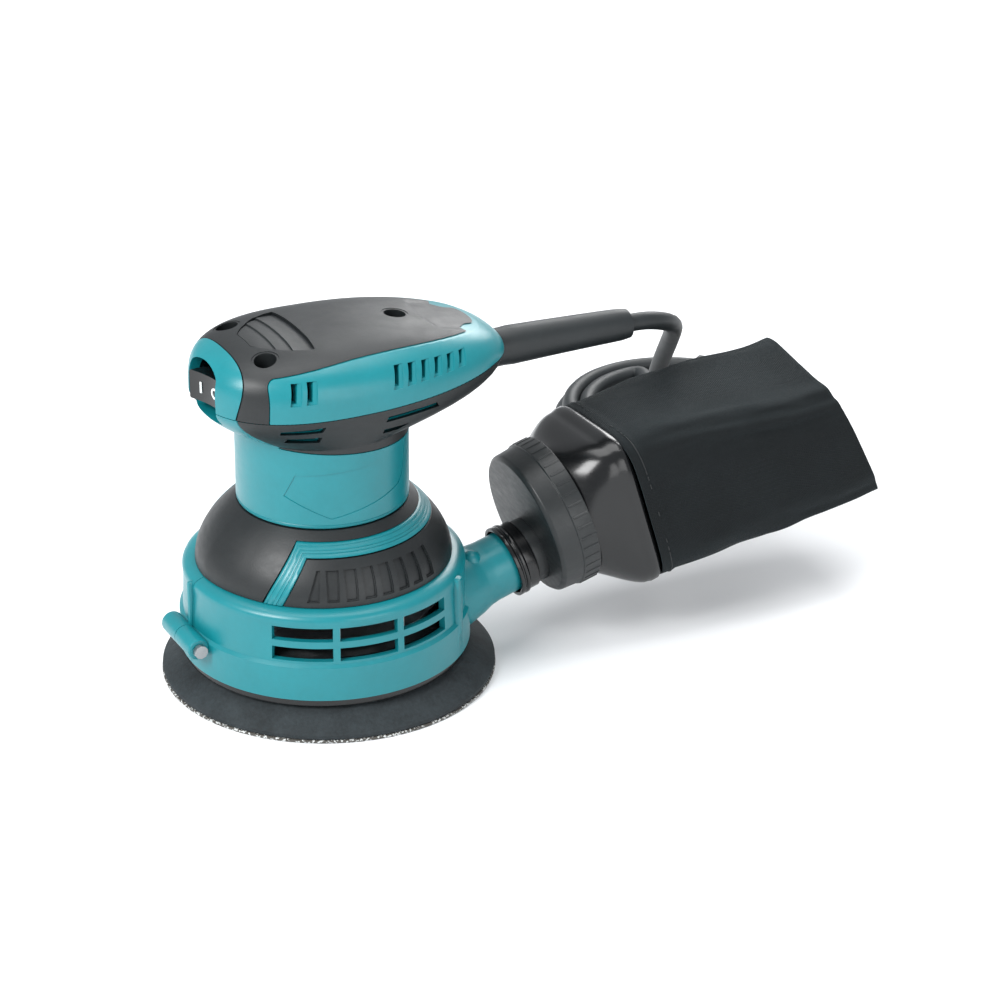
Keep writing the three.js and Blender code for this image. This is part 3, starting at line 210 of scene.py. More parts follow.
def woven(name, colour):
    """Plain-woven cloth: threads follow the piece's own UV map, laid out in metres."""
    finish = Finish(name, Sheen_Weight=0.06, Sheen_Roughness=0.5)
    finish.shader.inputs["Sheen Tint"].default_value = (0.55, 0.75, 0.82, 1)
    finish.shader.inputs["Specular IOR Level"].default_value = 0.25
    uv = finish.node("ShaderNodeUVMap", {"uv_map": "cloth"}, {})
    pitch = TURN / 0.00075
    across = finish.wave(finish.split(uv, 0) * pitch)
    along = finish.wave(finish.split(uv, 1) * pitch)
    weave = across * along
    cloud = finish.noise(0.02, 5.0, roughness=0.6)
    lint = finish.noise(0.0012, 3.0, roughness=0.7)
    share = finish.contrast(cloud * 0.55 + lint * 0.3 + weave * 0.09 + 0.08, 0.32, 0.72)
    finish.set("Base Color", finish.mix(share, shade(colour, 0.6), shade(colour, 1.7)))
    finish.set("Roughness", (lint - 0.5) * 0.2 + 0.86)
    finish.bump(weave * 0.5 + lint * 0.8, 0.00022)
    return finish.material


def foam(name, colour):
    """Mottled dense foam with pores."""
    finish = Finish(name)
    finish.shader.inputs["Specular IOR Level"].default_value = 0.3
    cloud = finish.noise(0.012, 6.0, roughness=0.68)
    pores = finish.noise(0.0014, 3.0, roughness=0.6)
    share = finish.contrast(cloud * 0.6 + pores * 0.4, 0.36, 0.66)
    finish.set("Base Color", finish.mix(share, shade(colour, 0.62), shade(colour, 1.45)))
    finish.set("Roughness", (pores - 0.5) * 0.3 + 0.78)
    finish.bump(pores + cloud * 0.6, 0.00025)
    return finish.material


def coated(name, colour, grain):
    """Coated abrasive: pale and dark grains on a dull backing."""
    finish = Finish(name)
    cells = finish.node("ShaderNodeTexVoronoi", {}, {"Vector": finish.place, "Scale": 1 / grain})
    spark = finish.node("ShaderNodeTexVoronoi", {}, {"Vector": finish.place, "Scale": 0.8 / grain}, "Color")
    level = finish.split(spark, 0)
    bright = level > 0.72
    finish.set("Base Color", finish.mix(bright, shade(colour, 0.8), (0.62, 0.64, 0.63)))
    finish.set("Roughness", 0.75 - bright * 0.4)
    finish.bump(1 - cells, grain * 0.5)
    return finish.material


FINISHES = {}


def finishes(colours):
    """The object's materials, made once and shared by its pieces."""
    if FINISHES:
        return FINISHES
    made = {
        "teal_plastic": moulded("teal_plastic", colours.shell, (0.33, 0.22, 0.07), (0.0007, 0.000018)),
        "soft_grip": moulded("soft_grip", colours.grip, (0.46, 0.22, 0.22), (0.0006, 0.00003)),
        "black_plastic": moulded("black_plastic", colours.gloss, (0.2, 0.16, 0.2), (0.001, 0.00001)),
        "dark_plastic": moulded("dark_plastic", colours.matt, (0.42, 0.3, 0.28), (0.0009, 0.00004)),
        "black_rubber": moulded("black_rubber", colours.rubber, (0.5, 0.16, 0.16), (0.0008, 0.00003)),
        "pad_rubber": foam("pad_rubber", colours.foam),
        "abrasive": coated("abrasive", colours.abrasive, 0.0005),
        "bag_cloth": woven("bag_cloth", colours.cloth),
        "steel": metal("steel", (0.42, 0.43, 0.44), 0.32, (1, 1, 6)),
        "dark_steel": metal("dark_steel", (0.1, 0.105, 0.11), 0.38, (1, 6, 1)),
        "laminations": metal("laminations", (0.3, 0.31, 0.33), 0.45, (0.2, 0.2, 9)),
        "cast_alloy": metal("cast_alloy", (0.5, 0.51, 0.52), 0.42, (1, 1, 1)),
        "copper": metal("copper", (0.62, 0.27, 0.12), 0.35, (1, 1, 9)),
        "brass": metal("brass", (0.7, 0.52, 0.22), 0.3, (6, 1, 1)),
        "carbon": moulded("carbon", (0.02, 0.02, 0.021), (0.6, 0.2, 0.3), (0.0006, 0.00004)),
        "mark": moulded("mark", colours.mark, (0.5, 0.1, 0.04), (0.0006, 0.00001)),
    }
    FINISHES.update(made)
    return FINISHES


# ---------------------------------------------------------------- mesh helpers, in millimetres
def closed(bm):
    """Merges doubles, drops loose edges and points the faces of a closed shape outwards."""
    bmesh.ops.remove_doubles(bm, verts=bm.verts[:], dist=2e-3)
    bmesh.ops.dissolve_degenerate(bm, dist=1e-3, edges=bm.edges[:])
    bmesh.ops.delete(bm, geom=[e for e in bm.edges if e.is_wire], context="EDGES")
    bmesh.ops.recalc_face_normals(bm, faces=bm.faces[:])
    return bm


def slab(columns, rows, place):
    """A closed plate. place(u, v, w) gives each point, with w 0 on its face and 1 on its back."""
    bm = bmesh.new()
    bmesh.ops.create_grid(bm, x_segments=columns, y_segments=rows, size=0.5)
    back = bmesh.ops.extrude_face_region(bm, geom=bm.faces[:])["geom"]
    bmesh.ops.translate(bm, verts=[g for g in back if isinstance(g, bmesh.types.BMVert)], vec=(0, 0, 1))
    for vert in bm.verts:
        vert.co = place(vert.co.x + 0.5, vert.co.y + 0.5, vert.co.z)
    return closed(bm)


def shell(columns, rows, place):
    """A closed round shell. place(u, v, inner) gives each point, with u once round the axis."""
    loops = 2 * rows + 2
    bm = bmesh.new()
    bmesh.ops.create_grid(bm, x_segments=columns, y_segments=loops, size=0.5)
    for vert in bm.verts:
        row = round((vert.co.y + 0.5) * loops)
        inner = rows < row < loops
        v = (loops - 1 - row) / rows if inner else (row % loops) / rows
        vert.co = place(vert.co.x + 0.5, v, inner)
    return closed(bm)


def rounded(profile, radius, steps=3):
    """A closed profile with its corners rounded by up to a radius."""
    points = []
    for i, here in enumerate(profile):
        before, after = profile[i - 1], profile[(i + 1) % len(profile)]
        corner, back, ahead = Vector(here), Vector(before) - Vector(here), Vector(after) - Vector(here)
        reach = min(radius, back.length * 0.45, ahead.length * 0.45)
        start, end = corner + back.normalized() * reach, corner + ahead.normalized() * reach
        for k in range(steps + 1):
            t = k / steps
            points.append(tuple(start * (1 - t) ** 2 + corner * (2 * t * (1 - t)) + end * t * t))
    return points


def turned(profile, segments=96, smooth=0.0):
    """A turned solid about the Z axis from a closed profile of (radius, height) points."""
    outline = rounded(profile, smooth) if smooth else list(profile)
    bm = bmesh.new()
    verts = [bm.verts.new((max(r, 0.0), 0, z)) for r, z in outline]
    edges = [bm.edges.new((verts[i - 1], verts[i])) for i in range(len(verts))]
    bmesh.ops.spin(bm, geom=verts + edges, axis=(0, 0, 1), cent=(0, 0, 0), dvec=(0, 0, 0), angle=TURN,
                   steps=segments, use_merge=True, use_duplicate=False)
    return closed(bm)


def prism(outline, stations):
    """A prism along Z through stations of (height, growth), its outline growing by so much."""
    bm = bmesh.new()
    face = bm.faces.new([bm.verts.new((x, y, 0)) for x, y in outline])
    middle = sum((Vector(p) for p in outline), Vector((0, 0))) / len(outline)
    reach = max((Vector(p) - middle).length for p in outline)
    flat = [v.co.copy() for v in face.verts]

    def put(verts, height, growth):
        scale = 1 + growth / reach
        for vert, co in zip(verts, flat):
            vert.co = (middle.x + (co.x - middle.x) * scale, middle.y + (co.y - middle.y) * scale, height)

    put(face.verts[:], *stations[0])
    ring = face.verts[:]
    for station in stations[1:]:
        made = bmesh.ops.extrude_face_region(bm, geom=[face])["geom"]
        face = next(g for g in made if isinstance(g, bmesh.types.BMFace))
        loop = [vert for vert in face.verts]
        put(order_like(loop, ring), *station)
        ring = order_like(loop, ring)
    for extra in [f for f in bm.faces if f is not face and len(f.verts) == len(outline) and abs(f.calc_center_median().z - stations[0][0]) > 1e-6]:
        bm.faces.remove(extra)
    return closed(bm)


def order_like(loop, ring):
    """The verts of a loop in the order of the ring that they were extruded from."""
    return [min(loop, key=lambda vert: (vert.co - old.co).length) for old in ring]


def block(size, centre, edge=0.0, segments=2):
    """A box with rounded edges."""
    bm = bmesh.new()
    bmesh.ops.create_cube(bm, size=1)
    bmesh.ops.scale(bm, verts=bm.verts[:], vec=size)
    if edge:
        bmesh.ops.bevel(bm, geom=bm.edges[:], offset=edge, segments=segments, affect="EDGES", profile=0.5, material=-1)
    bmesh.ops.translate(bm, verts=bm.verts[:], vec=centre)
    return closed(bm)


def moved(bm, matrix):
    bmesh.ops.transform(bm, matrix=matrix, verts=bm.verts[:])
    return bm


def joined(*parts):
    """One mesh from several, without merging them."""
    whole = bmesh.new()
    for part in parts:
        mesh = bpy.data.meshes.new("part")
        part.to_mesh(mesh)
        part.free()
        whole.from_mesh(mesh)
        bpy.data.meshes.remove(mesh)
    return whole


def scratch(bm):
    mesh = bpy.data.meshes.new("scratch")
    bm.to_mesh(mesh)
    bm.free()
    made = bpy.data.objects.new("scratch", mesh)
    bpy.context.scene.collection.objects.link(made)
    return made


def carved(bm, operation, *tools):
    """The shape after each tool is cut from it, added to it or shared with it."""
    body = scratch(bm)
    helpers = []
    for tool in tools:
        helpers.append(scratch(tool))
        change = body.modifiers.new("change", "BOOLEAN")
        change.solver = "EXACT"
        change.operation = operation
        change.object = helpers[-1]
    result = bmesh.new()
    result.from_object(body, bpy.context.evaluated_depsgraph_get())
    for extra in [body, *helpers]:
        mesh = extra.data
        bpy.data.objects.remove(extra)
        bpy.data.meshes.remove(mesh)
    bmesh.ops.remove_doubles(result, verts=result.verts[:], dist=0.01)
    bmesh.ops.dissolve_degenerate(result, dist=0.01, edges=result.edges[:])
    return result


def cut(bm, *tools):
    return carved(bm, "DIFFERENCE", *tools)


def common(bm, *tools):
    return carved(bm, "INTERSECT", *tools)


def united(bm, *tools):
    return carved(bm, "UNION", *tools)


def finished(name, bm, finish, body, replaces=(), sharp=32.0, bevel=0.0, uv=None):
    """Makes the object of a piece: scaled to metres, shaded, painted and riding on its body."""
    bmesh.ops.scale(bm, vec=(MM, MM, MM), verts=bm.verts[:])
    limit = math.radians(sharp)
    for face in bm.faces:
        face.smooth = True
    for edge in bm.edges:
        edge.smooth = not edge.is_manifold or edge.calc_face_angle(0.0) < limit
    mesh = bpy.data.meshes.new(name)
    bm.to_mesh(mesh)
    bm.free()
    made = bpy.data.objects.new(name, mesh)
    bpy.context.scene.collection.objects.link(made)
    mesh.materials.append(FINISHES[finish])
    if bevel:
        rounding = made.modifiers.new("edges", "BEVEL")
        rounding.width = bevel * MM
        rounding.segments = 2
        rounding.limit_method = "ANGLE"
        rounding.angle_limit = math.radians(50)
        rounding.use_clamp_overlap = True
        rounding.harden_normals = False
    if replaces:
        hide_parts(*replaces)
    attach(made, body)
    return made


# ---------------------------------------------------------------- the handle's outline
SEAM = 117.0
CROWN = {"centre": 2.0, "front": 50.0, "rear": 68.5, "half": 37.0, "height": 21.5}
PLAN = 2.4
SIDE_FRONT, SIDE_REAR = 3.9, 1.95
COLLAR = 102.5
MOTOR = 31.9
FLARE_FRONT, FLARE_REAR = 1.7, 2.6


def power(value, exponent):
    return math.copysign(abs(value) ** exponent, value) if abs(value) > 1e-9 else 0.0


def lerp(a, b, t):
    return a + (b - a) * t


def clamp(value, low=0.0, high=1.0):
    return max(low, min(high, value))


def smooth(t):
    t = clamp(t)
    return t * t * (3 - 2 * t)


def seam_lift(x):
    """How much higher the seam lies towards the cord."""
    return 3.4 * clamp((x - 2) / 55) ** 1.7


def side_exponent(cosine):
    return lerp(SIDE_REAR, SIDE_FRONT, 0.5 - 0.5 * cosine)


def crown(angle, rise, inset=0.0):
    """A point on the handle's upper half: rise goes from 0 at the seam to a quarter turn."""
    exponent = 2 / side_exponent(math.cos(angle))
    spread = power(math.cos(rise), exponent)
    share = power(math.sin(rise), exponent)
    length = (CROWN["rear"] if math.cos(angle) > 0 else CROWN["front"]) - inset
    x = CROWN["centre"] + length * power(math.cos(angle), 2 / PLAN) * spread
    y = (CROWN["half"] - inset) * power(math.sin(angle), 2 / PLAN) * spread
    z = SEAM + 0.15 + (CROWN["height"] - inset) * share
    return Vector((x, y, z + seam_lift(x) * (1 - share)))


def crown_level(x, y, inset=0.0):
    """Height of the handle's top over a point of its plan."""
    length = (CROWN["rear"] if x > CROWN["centre"] else CROWN["front"]) - inset
    u, v = abs(x - CROWN["centre"]) / length, abs(y) / (CROWN["half"] - inset)
    spread = min((u ** PLAN + v ** PLAN) ** (1 / PLAN), 0.9999)
    cosine = math.copysign((u / spread) ** (PLAN / 2), x - CROWN["centre"]) if spread > 1e-6 else 0.0
    exponent = side_exponent(cosine)
    share = (1 - spread ** exponent) ** (1 / exponent)
    return SEAM + 0.15 + (CROWN["height"] - inset) * share + seam_lift(x) * (1 - share)


def flare(angle, level, inset=0.0):
    """A point on the casing between the motor's cylinder and the seam."""
    s = clamp((level - COLLAR) / (SEAM - COLLAR))
    front = CROWN["front"] + (MOTOR - CROWN["front"]) * (1 - s) ** FLARE_FRONT
    rear = CROWN["rear"] + (MOTOR - CROWN["rear"]) * (1 - s) ** FLARE_REAR
    half = lerp(MOTOR, CROWN["half"], s)
    exponent = 2 / lerp(2, PLAN, s)
    length = (rear if math.cos(angle) > 0 else front) - inset
    x = CROWN["centre"] * s + length * power(math.cos(angle), exponent)
    y = (half - inset) * power(math.sin(angle), exponent)
    return Vector((x, y, level + seam_lift(x) * s * s + inset * (1 - s) * clamp(s * 6)))


def side_at(x, level, low=0.0, high=42.0):
    """Half the handle's width at a length and a level, found by halving."""
    if level >= SEAM + seam_lift(x):
        def outside(y):
            return crown_level(x, y) < level
    else:
        def outside(y):
            s = clamp((level - COLLAR) / (SEAM - COLLAR))
            front = CROWN["front"] + (MOTOR - CROWN["front"]) * (1 - s) ** FLARE_FRONT
            rear = CROWN["rear"] + (MOTOR - CROWN["rear"]) * (1 - s) ** FLARE_REAR
            e, off = lerp(2, PLAN, s), x - CROWN["centre"] * s
            return (abs(off) / (rear if off > 0 else front)) ** e + (y / lerp(MOTOR, CROWN["half"], s)) ** e > 1
    for _ in range(30):
        middle = (low + high) / 2
        low, high = (low, middle) if outside(middle) else (middle, high)
    return (low + high) / 2


def pocket(corners, depths, side, proud=3.0):
    """A cutter on the handle's flank: four (x, z) corners, each cut to its own depth."""
    bm = bmesh.new()
    bmesh.ops.create_cube(bm, size=2)
    order = {(-1, -1): 0, (1, -1): 1, (1, 1): 2, (-1, 1): 3}
    for vert in bm.verts:
        i = order[(round(vert.co.x), round(vert.co.z))]
        x, z = corners[i]
        y = side_at(x, z) + (proud if vert.co.y > 0 else -depths[i])
        vert.co = (x, side * y, z)
    return closed(bm)


# ---------------------------------------------------------------- regions of the handle
def panel_line(x):
    """Upper edge of the side panels."""
    return 134.8 - 0.00175 * (x - 6) ** 2


PANEL_EDGE = -32.6


def frame_line(level):
    """Rear edge of the frame round the switch."""
    return -42.6 + 0.16 * (level - SEAM) + 0.005 * max(level - SEAM, 0) ** 2


def across(outline, half=60.0):
    """A prism that runs across the handle, from an outline of (x, z) points."""
    return moved(prism(outline, [(-half, 0), (half, 0)]), Matrix.Rotation(math.radians(90), 4, "X"))


def panel_cutter(gap):
    """Everything in the side panels' region, grown by a gap."""
    front = PANEL_EDGE - gap
    radius = 3.5 + gap
    top = [(x, panel_line(x) + gap) for x in range(-24, 80, 6)]
    corner = []
    for k in range(7):
        angle = math.pi - k * math.pi / 12
        corner.append((front + radius + radius * math.cos(angle), panel_line(-29) + gap - radius + radius * math.sin(angle)))
    return across([(front - 1.2, 100), *corner, *top, (80, 100)])


def frame_cutter(gap):
    edge = [(frame_line(z) + gap, z) for z in range(100, 145, 4)]
    return across([(-70, 100), *edge, (-70, 144)])


WELLS = {"front_near": (-29, -17), "front_far": (-29, 17), "rear": (30, 0)}
WELL_FLOOR = 127.5
# Slots in the flanks: lower front corner, upper front corner, width of the hole.
FLANK_SLOTS = [((-26.3, 124.5), (-24.9, 131.1), 2.2), ((-20.8, 124.7), (-19.4, 131.3), 2.2)]
for number in range(6):
    foot = (12.3 + 5.6 * number, 124.9 + 0.24 * number)
    head = (14.3 + 5.66 * number, 131.3 - 0.34 * number)
    FLANK_SLOTS.append((foot, head, 2.1 - 0.08 * number))


def flank_cutters():
    holes, recesses = [], []
    for side in (-1, 1):
        for (x0, z0), (x1, z1), width in FLANK_SLOTS:
            corners = [(x0, z0), (x0 + width, z0), (x1 + width, z1), (x1, z1)]
            holes.append(pocket(corners, [9] * 4, side))
            corners = [(x0 - 0.2, z0 - 0.8), (x0 + width + 1.3, z0 - 0.8), (x1 + width + 1.3, z1 + 0.3), (x1 - 0.2, z1 + 0.3)]
            recesses.append(pocket(corners, [0.9, 0.1, 0.1, 0.9], side))
    return [joined(*holes), joined(*recesses)]


def well_cutters(radius=5.0):
    return [moved(turned([(0, WELL_FLOOR), (radius, WELL_FLOOR), (radius, 150), (0, 150)], 40), Matrix.Translation((x, y, 0)))
            for x, y in WELLS.values()]


def arch_outline(half, low, spring, rise, steps=12):
    """An opening with straight sides and an arched top, as (y, z) points."""
    points = [(-half - 1.0, low), (half + 1.0, low), (half, spring)]
    for k in range(1, steps):
        angle = math.pi * k / steps
        points.append((half * math.cos(angle), spring + rise * math.sin(angle)))
    return [*points, (-half, spring)]


POCKET = {"half": 11.3, "low": 112.0, "spring": 127.9, "rise": 4.4, "back": -29.0}


def switch_cutter():
    """The arched pocket, with a chamfered mouth, as one prism along X."""
    outline = arch_outline(POCKET["half"], POCKET["low"], POCKET["spring"], POCKET["rise"])
    bm = prism(outline, [(-62, 2.2), (-47.6, 1.3), (-45.9, 0.0), (POCKET["back"], 0.0)])
    turn = Matrix(((0, 0, 1, 0), (1, 0, 0, 0), (0, 1, 0, 0), (0, 0, 0, 1)))
    return closed(moved(bm, turn))


GUARD = {"level": 115.0, "start": 52.0, "end": 127.0, "root": 7.35, "tip": 6.0}


def guard_hole():
    bm = turned([(0, 40), (GUARD["root"] + 0.3, 40), (GUARD["root"] + 0.3, 90), (0, 90)], 32)
    return moved(bm, Matrix.Translation((0, 0, GUARD["level"])) @ Matrix.Rotation(math.radians(90), 4, "Y"))


def crown_shell(columns, rows, skin, grow=0.0):
    def place(u, v, inner):
        point = crown(TURN * u, TURN / 4 * v, skin if inner else -grow)
        return point
    return shell(columns, rows, place)


class SANDER_OT_top_cover(bpy.types.Operator):
    """Teal upper half of the handle, with its slots, screw wells and switch pocket"""

    bl_idname = "sander.top_cover"
    bl_label = "Top cover"

    def execute(self, context):
        sizes = context.scene.sander_sizes
        cover = crown_shell(176, 44, 3.6)
        seat = crown_shell(140, 34, sizes.grip_skin + 0.2, 1.5)
        seat = cut(seat, panel_cutter(0.0), frame_cutter(0.0))
        cover = cut(cover, seat, *flank_cutters(), switch_cutter(), guard_hole(), *well_cutters())
        finished("top_cover", cover, "teal_plastic", "casing", ["top_cover"], bevel=sizes.edge)
        return {"FINISHED"}


RIB_STATIONS = [-29.5, -28, -26.5, -25, -23.7, -22.5, -22.2, -20.5, -18.8, -17.0, -16.7, -15, -13, -11, -9.2]
RIB_DEPTHS = [0.05, 0.15, 0.3, 0.45, 0.6, 0.75, 0.25, 0.45, 0.65, 0.85, 0.3, 0.55, 0.75, 0.95, 1.1]
RIB_HALF = [6.0, 7.8, 9.6, 11.0, 12.2, 13.2, 13.4, 14.6, 15.6, 16.6, 16.8, 17.4, 18.0, 18.5, 18.8]


def ribbed_patch():
    """Sawtooth ribs let into the front of the grip."""
    def place(u, v, w):
        i = round(u * (len(RIB_STATIONS) - 1))
        y = (2 * v - 1) * (RIB_HALF[i] - 0.15)
        x = RIB_STATIONS[i] - 0.004 * y * y
        return Vector((x, y, crown_level(x, y) - (1.35 if w > 0.5 else RIB_DEPTHS[i])))
    return slab(len(RIB_STATIONS) - 1, 24, place)


def rib_cutter():
    def place(u, v, w):
        x = lerp(RIB_STATIONS[0] - 0.2, RIB_STATIONS[-1] + 0.2, u)
        i = min(range(len(RIB_STATIONS)), key=lambda k: abs(RIB_STATIONS[k] - x))
        y = (2 * v - 1) * RIB_HALF[i]
        x -= 0.004 * y * y
        return Vector((x, y, crown_level(x, y) + (-1.25 if w > 0.5 else 4)))
    return slab(14, 12, place)


def facet_cutter():
    """The shallow step behind the rear screw."""
    def place(u, v, w):
        y = lerp(-17, 17, v)
        start = 38.0 + 0.012 * y * y
        x = lerp(start, 62, u ** 0.8)
        drop = 0.75 * smooth((x - start) / 1.2) * (1 - smooth((abs(y) - 12) / 4.5)) * (1 - smooth((x - 52) / 9))
        level = crown_level(min(x, 66), y)
        return Vector((x, y, level + (4 if w < 0.5 else 0.06 - drop)))
    return slab(28, 22, place)


def well_lining(x, y):
    """A soft sleeve whose top follows the grip."""
    def place(u, v, inner):
        radius, angle = 4.1 if inner else 4.95, TURN * u
        px, py = x + radius * math.cos(angle), y + radius * math.sin(angle)
        return Vector((px, py, lerp(WELL_FLOOR + 0.1, crown_level(px, py) - 0.2, v)))
    return shell(40, 4, place)


class SANDER_OT_top_grip(bpy.types.Operator):
    """Soft black grip over the top of the handle, with its ribs and screw wells"""

    bl_idname = "sander.top_grip"
    bl_label = "Top grip"

    def execute(self, context):
        sizes = context.scene.sander_sizes
        grip = crown_shell(200, 60, sizes.grip_skin)
        tools = [panel_cutter(sizes.seam_gap), frame_cutter(sizes.seam_gap), *well_cutters(), rib_cutter(), facet_cutter()]
        grip = cut(grip, *tools)
        finished("top_grip", grip, "soft_grip", "casing", ["top_grip"], bevel=sizes.edge)
        finished("grip_ribs", ribbed_patch(), "soft_grip", "casing", sharp=20)
        for name, (x, y) in WELLS.items():
            finished(f"well_lining_{name}", well_lining(x, y), "soft_grip", "casing")
        return {"FINISHED"}


def cross_head(radius, top, height):
    """A pan head with a cross recess."""
    head = turned([(0, top - height), (radius, top - height), (radius, top - height * 0.35), (radius * 0.55, top), (0, top)], 32, 0.3)
    arm = radius * 1.15
    slots = [block((arm, radius * 0.28, 1.6), (0, 0, top)), block((radius * 0.28, arm, 1.6), (0, 0, top))]
    return cut(head, *slots)


class SANDER_OT_cover_screws(bpy.types.Operator):
    """Three cross-head screws at the bottom of the wells"""

    bl_idname = "sander.cover_screws"
    bl_label = "Cover screws"

    def execute(self, context):
        for number, (name, (x, y)) in enumerate(WELLS.items()):
            head = cross_head(3.6, WELL_FLOOR + 2.7, 2.4)
            turn = Matrix.Translation((x, y, 0)) @ Matrix.Rotation(0.5 + number * 0.7, 4, "Z")
            shank = turned([(0, SEAM - 4), (1.9, SEAM - 4), (1.9, WELL_FLOOR + 0.5), (0, WELL_FLOOR + 0.5)], 20)
            node = f"cover_screw_{name}"
            finished(node, moved(joined(head, shank), turn), "dark_steel", "casing", [node])
        return {"FINISHED"}


DOME_LOW, DOME_TOP = 47.5, 71.0


def dome_radius(level):
    t = clamp((level - DOME_LOW) / (DOME_TOP - DOME_LOW))
    return MOTOR + (47.5 - MOTOR) * (1 - t ** 1.9)


CASING_LEVELS = [47.5, 51, 55, 59, 63, 66, 68.5, 70.9, 71.3, 71.7, 72.6, 72.8, 73.0, 80, 88, 96, 99, 101, 102.5,
                 103, 104, 105.2, 106.5, 108, 109.5, 111, 112.5, 114, 115.5, 116.4, 116.85]


def casing_point(u, v, inner):
    index = round(v * (len(CASING_LEVELS) - 1))
    level = CASING_LEVELS[index]
    angle = TURN * u
    if level < 71.2:
        radius = dome_radius(level) - 1.85 - (2.4 if inner else 0)
        return Vector((radius * math.cos(angle), radius * math.sin(angle), level))
    if level < COLLAR:
        steps = {71.3: 0.6, 71.7: 0.15, 72.8: 0.18}
        radius = MOTOR - (2.4 if inner else steps.get(level, 0.0))
        return Vector((radius * math.cos(angle), radius * math.sin(angle), level))
    return flare(angle, level, 3.8 if inner else 0.0)


# Outline of the badge's recess, as (degrees, level): its lower edge, then its upper edge.
BADGE_LOWER = [(-140.5, 83.5), (-109, 75.2), (-70, 79.8), (-54, 82.0), (-48.5, 85.5), (-44, 97.4)]
BADGE_UPPER = [(-140.5, 83.7), (-132.5, 92.2), (-90, 94.2), (-44, 97.6)]


def along_line(points, x):
    for (x0, y0), (x1, y1) in zip(points, points[1:]):
        if x <= x1:
            return lerp(y0, y1, clamp((x - x0) / (x1 - x0)))
    return points[-1][1]


def badge_cutter():
    """A shallow shield-shaped recess on the motor's cylinder."""
    def place(u, v, w):
        degrees = lerp(BADGE_LOWER[0][0], BADGE_LOWER[-1][0], u)
        level = lerp(along_line(BADGE_LOWER, degrees), along_line(BADGE_UPPER, degrees), v)
        radius, angle = lerp(MOTOR + 3, MOTOR - 0.3, w), math.radians(degrees)
        return Vector((radius * math.cos(angle), radius * math.sin(angle), level))
    return slab(72, 3, place)


# Slots in the collar: corners as (x, z), lower front first.
COLLAR_SLOTS = [
    [(-29.0, 111.7), (-14.8, 112.0), (-13.8, 114.3), (-29.2, 113.4)],
    [(-26.5, 107.3), (-15.0, 107.2), (-14.6, 109.7), (-26.2, 109.6)],
    [(9.6, 111.4), (32.0, 112.2), (30.4, 114.6), (10.2, 113.8)],
    [(9.0, 106.3), (15.5, 106.4), (20.1, 108.1), (9.5, 108.1)],
]


def inner_corners(corners, margin):
    x, z = sum(c[0] for c in corners) / 4, sum(c[1] for c in corners) / 4
    return [(a - math.copysign(margin, a - x), b - math.copysign(margin * 0.7, b - z)) for a, b in corners]


def collar_region(gap):
    """The soft collar's region, shrunk by a gap."""
    reach = 90

    def slanted(u, v, w):
        x = lerp(-reach, reach, u)
        return Vector((x, lerp(-reach, reach, v), lerp(99.9 - 0.078 * x + gap, 140, w)))

    def chin(u, v, w):
        level = lerp(80, 150, w)
        half = 20.2 + gap + 0.12 * (level - 112)
        return Vector((lerp(-reach - 5, -8 + gap, u), lerp(-half, half, v), level))
    rear = across([(33.5 - gap + (SEAM - 90) * 1.06, 90), (120, 90), (120, 150), (33.5 - gap + (SEAM - 150) * 1.06, 150)], 95)
    return cut(slab(1, 1, slanted), slab(1, 1, chin), rear)


class SANDER_OT_motor_casing(bpy.types.Operator):
    """Teal casing: dome, motor cylinder, chin and the handle's underside"""

    bl_idname = "sander.motor_casing"
    bl_label = "Motor casing"

    def execute(self, context):
        sizes = context.scene.sander_sizes
        casing = shell(176, len(CASING_LEVELS) - 1, casing_point)
        seat = common(collar_shell(sizes.grip_skin + 0.2, 1.5), collar_region(-0.05))
        slots = [pocket(inner_corners(c, 0.75), [8] * 4, side) for side in (-1, 1) for c in COLLAR_SLOTS]
        chin = block((7, 7.5, 2.4), (-47.5, -5.2, 115.2))
        casing = cut(casing, seat, badge_cutter(), switch_cutter(), guard_hole(), joined(*slots), chin)
        finished("motor_casing", casing, "teal_plastic", "casing", ["motor_casing"], bevel=sizes.edge * 0.7)
        return {"FINISHED"}


def collar_shell(skin, grow=0.0):
    levels = [96, 98, 100, 101.5, 102.5, *CASING_LEVELS[19:]]

    def place(u, v, inner):
        level = levels[round(v * (len(levels) - 1))]
        return flare(TURN * u, level, skin if inner else -grow)
    return shell(176, len(levels) - 1, place)


class SANDER_OT_collar_grip(bpy.types.Operator):
    """Soft black collar under the handle, with slots"""

    bl_idname = "sander.collar_grip"
    bl_label = "Collar grip"

    def execute(self, context):
        sizes = context.scene.sander_sizes
        slots = [pocket(c, [4] * 4, side) for side in (-1, 1) for c in COLLAR_SLOTS]
        collar = common(collar_shell(sizes.grip_skin), collar_region(sizes.seam_gap))
        collar = cut(collar, joined(*slots))
        finished("collar_grip", collar, "soft_grip", "casing", ["collar_grip"], bevel=sizes.edge * 0.7)
        return {"FINISHED"}


# ---------------------------------------------------------------- dome covers
ARCH_LOW, ARCH_HIGH = 63.6, 67.8


def arch_outer(level):
    return 142.4 - (level - DOME_LOW) * 12 / (ARCH_HIGH - DOME_LOW)


def arch_inner(level):
    return 133 - (level - DOME_LOW) * 9.5 / (ARCH_LOW - DOME_LOW)


def on_dome(degrees, level, depth=0.0):
    """A point on the dome, with a faint keel down its front."""
    keel = 0.9 * max(0.0, 1 - abs(180 - abs(degrees)) / 26) * clamp((DOME_TOP - level) / 6)
    radius, angle = dome_radius(level) + keel - depth, math.radians(degrees)
    return Vector((radius * math.cos(angle), radius * math.sin(angle), level))


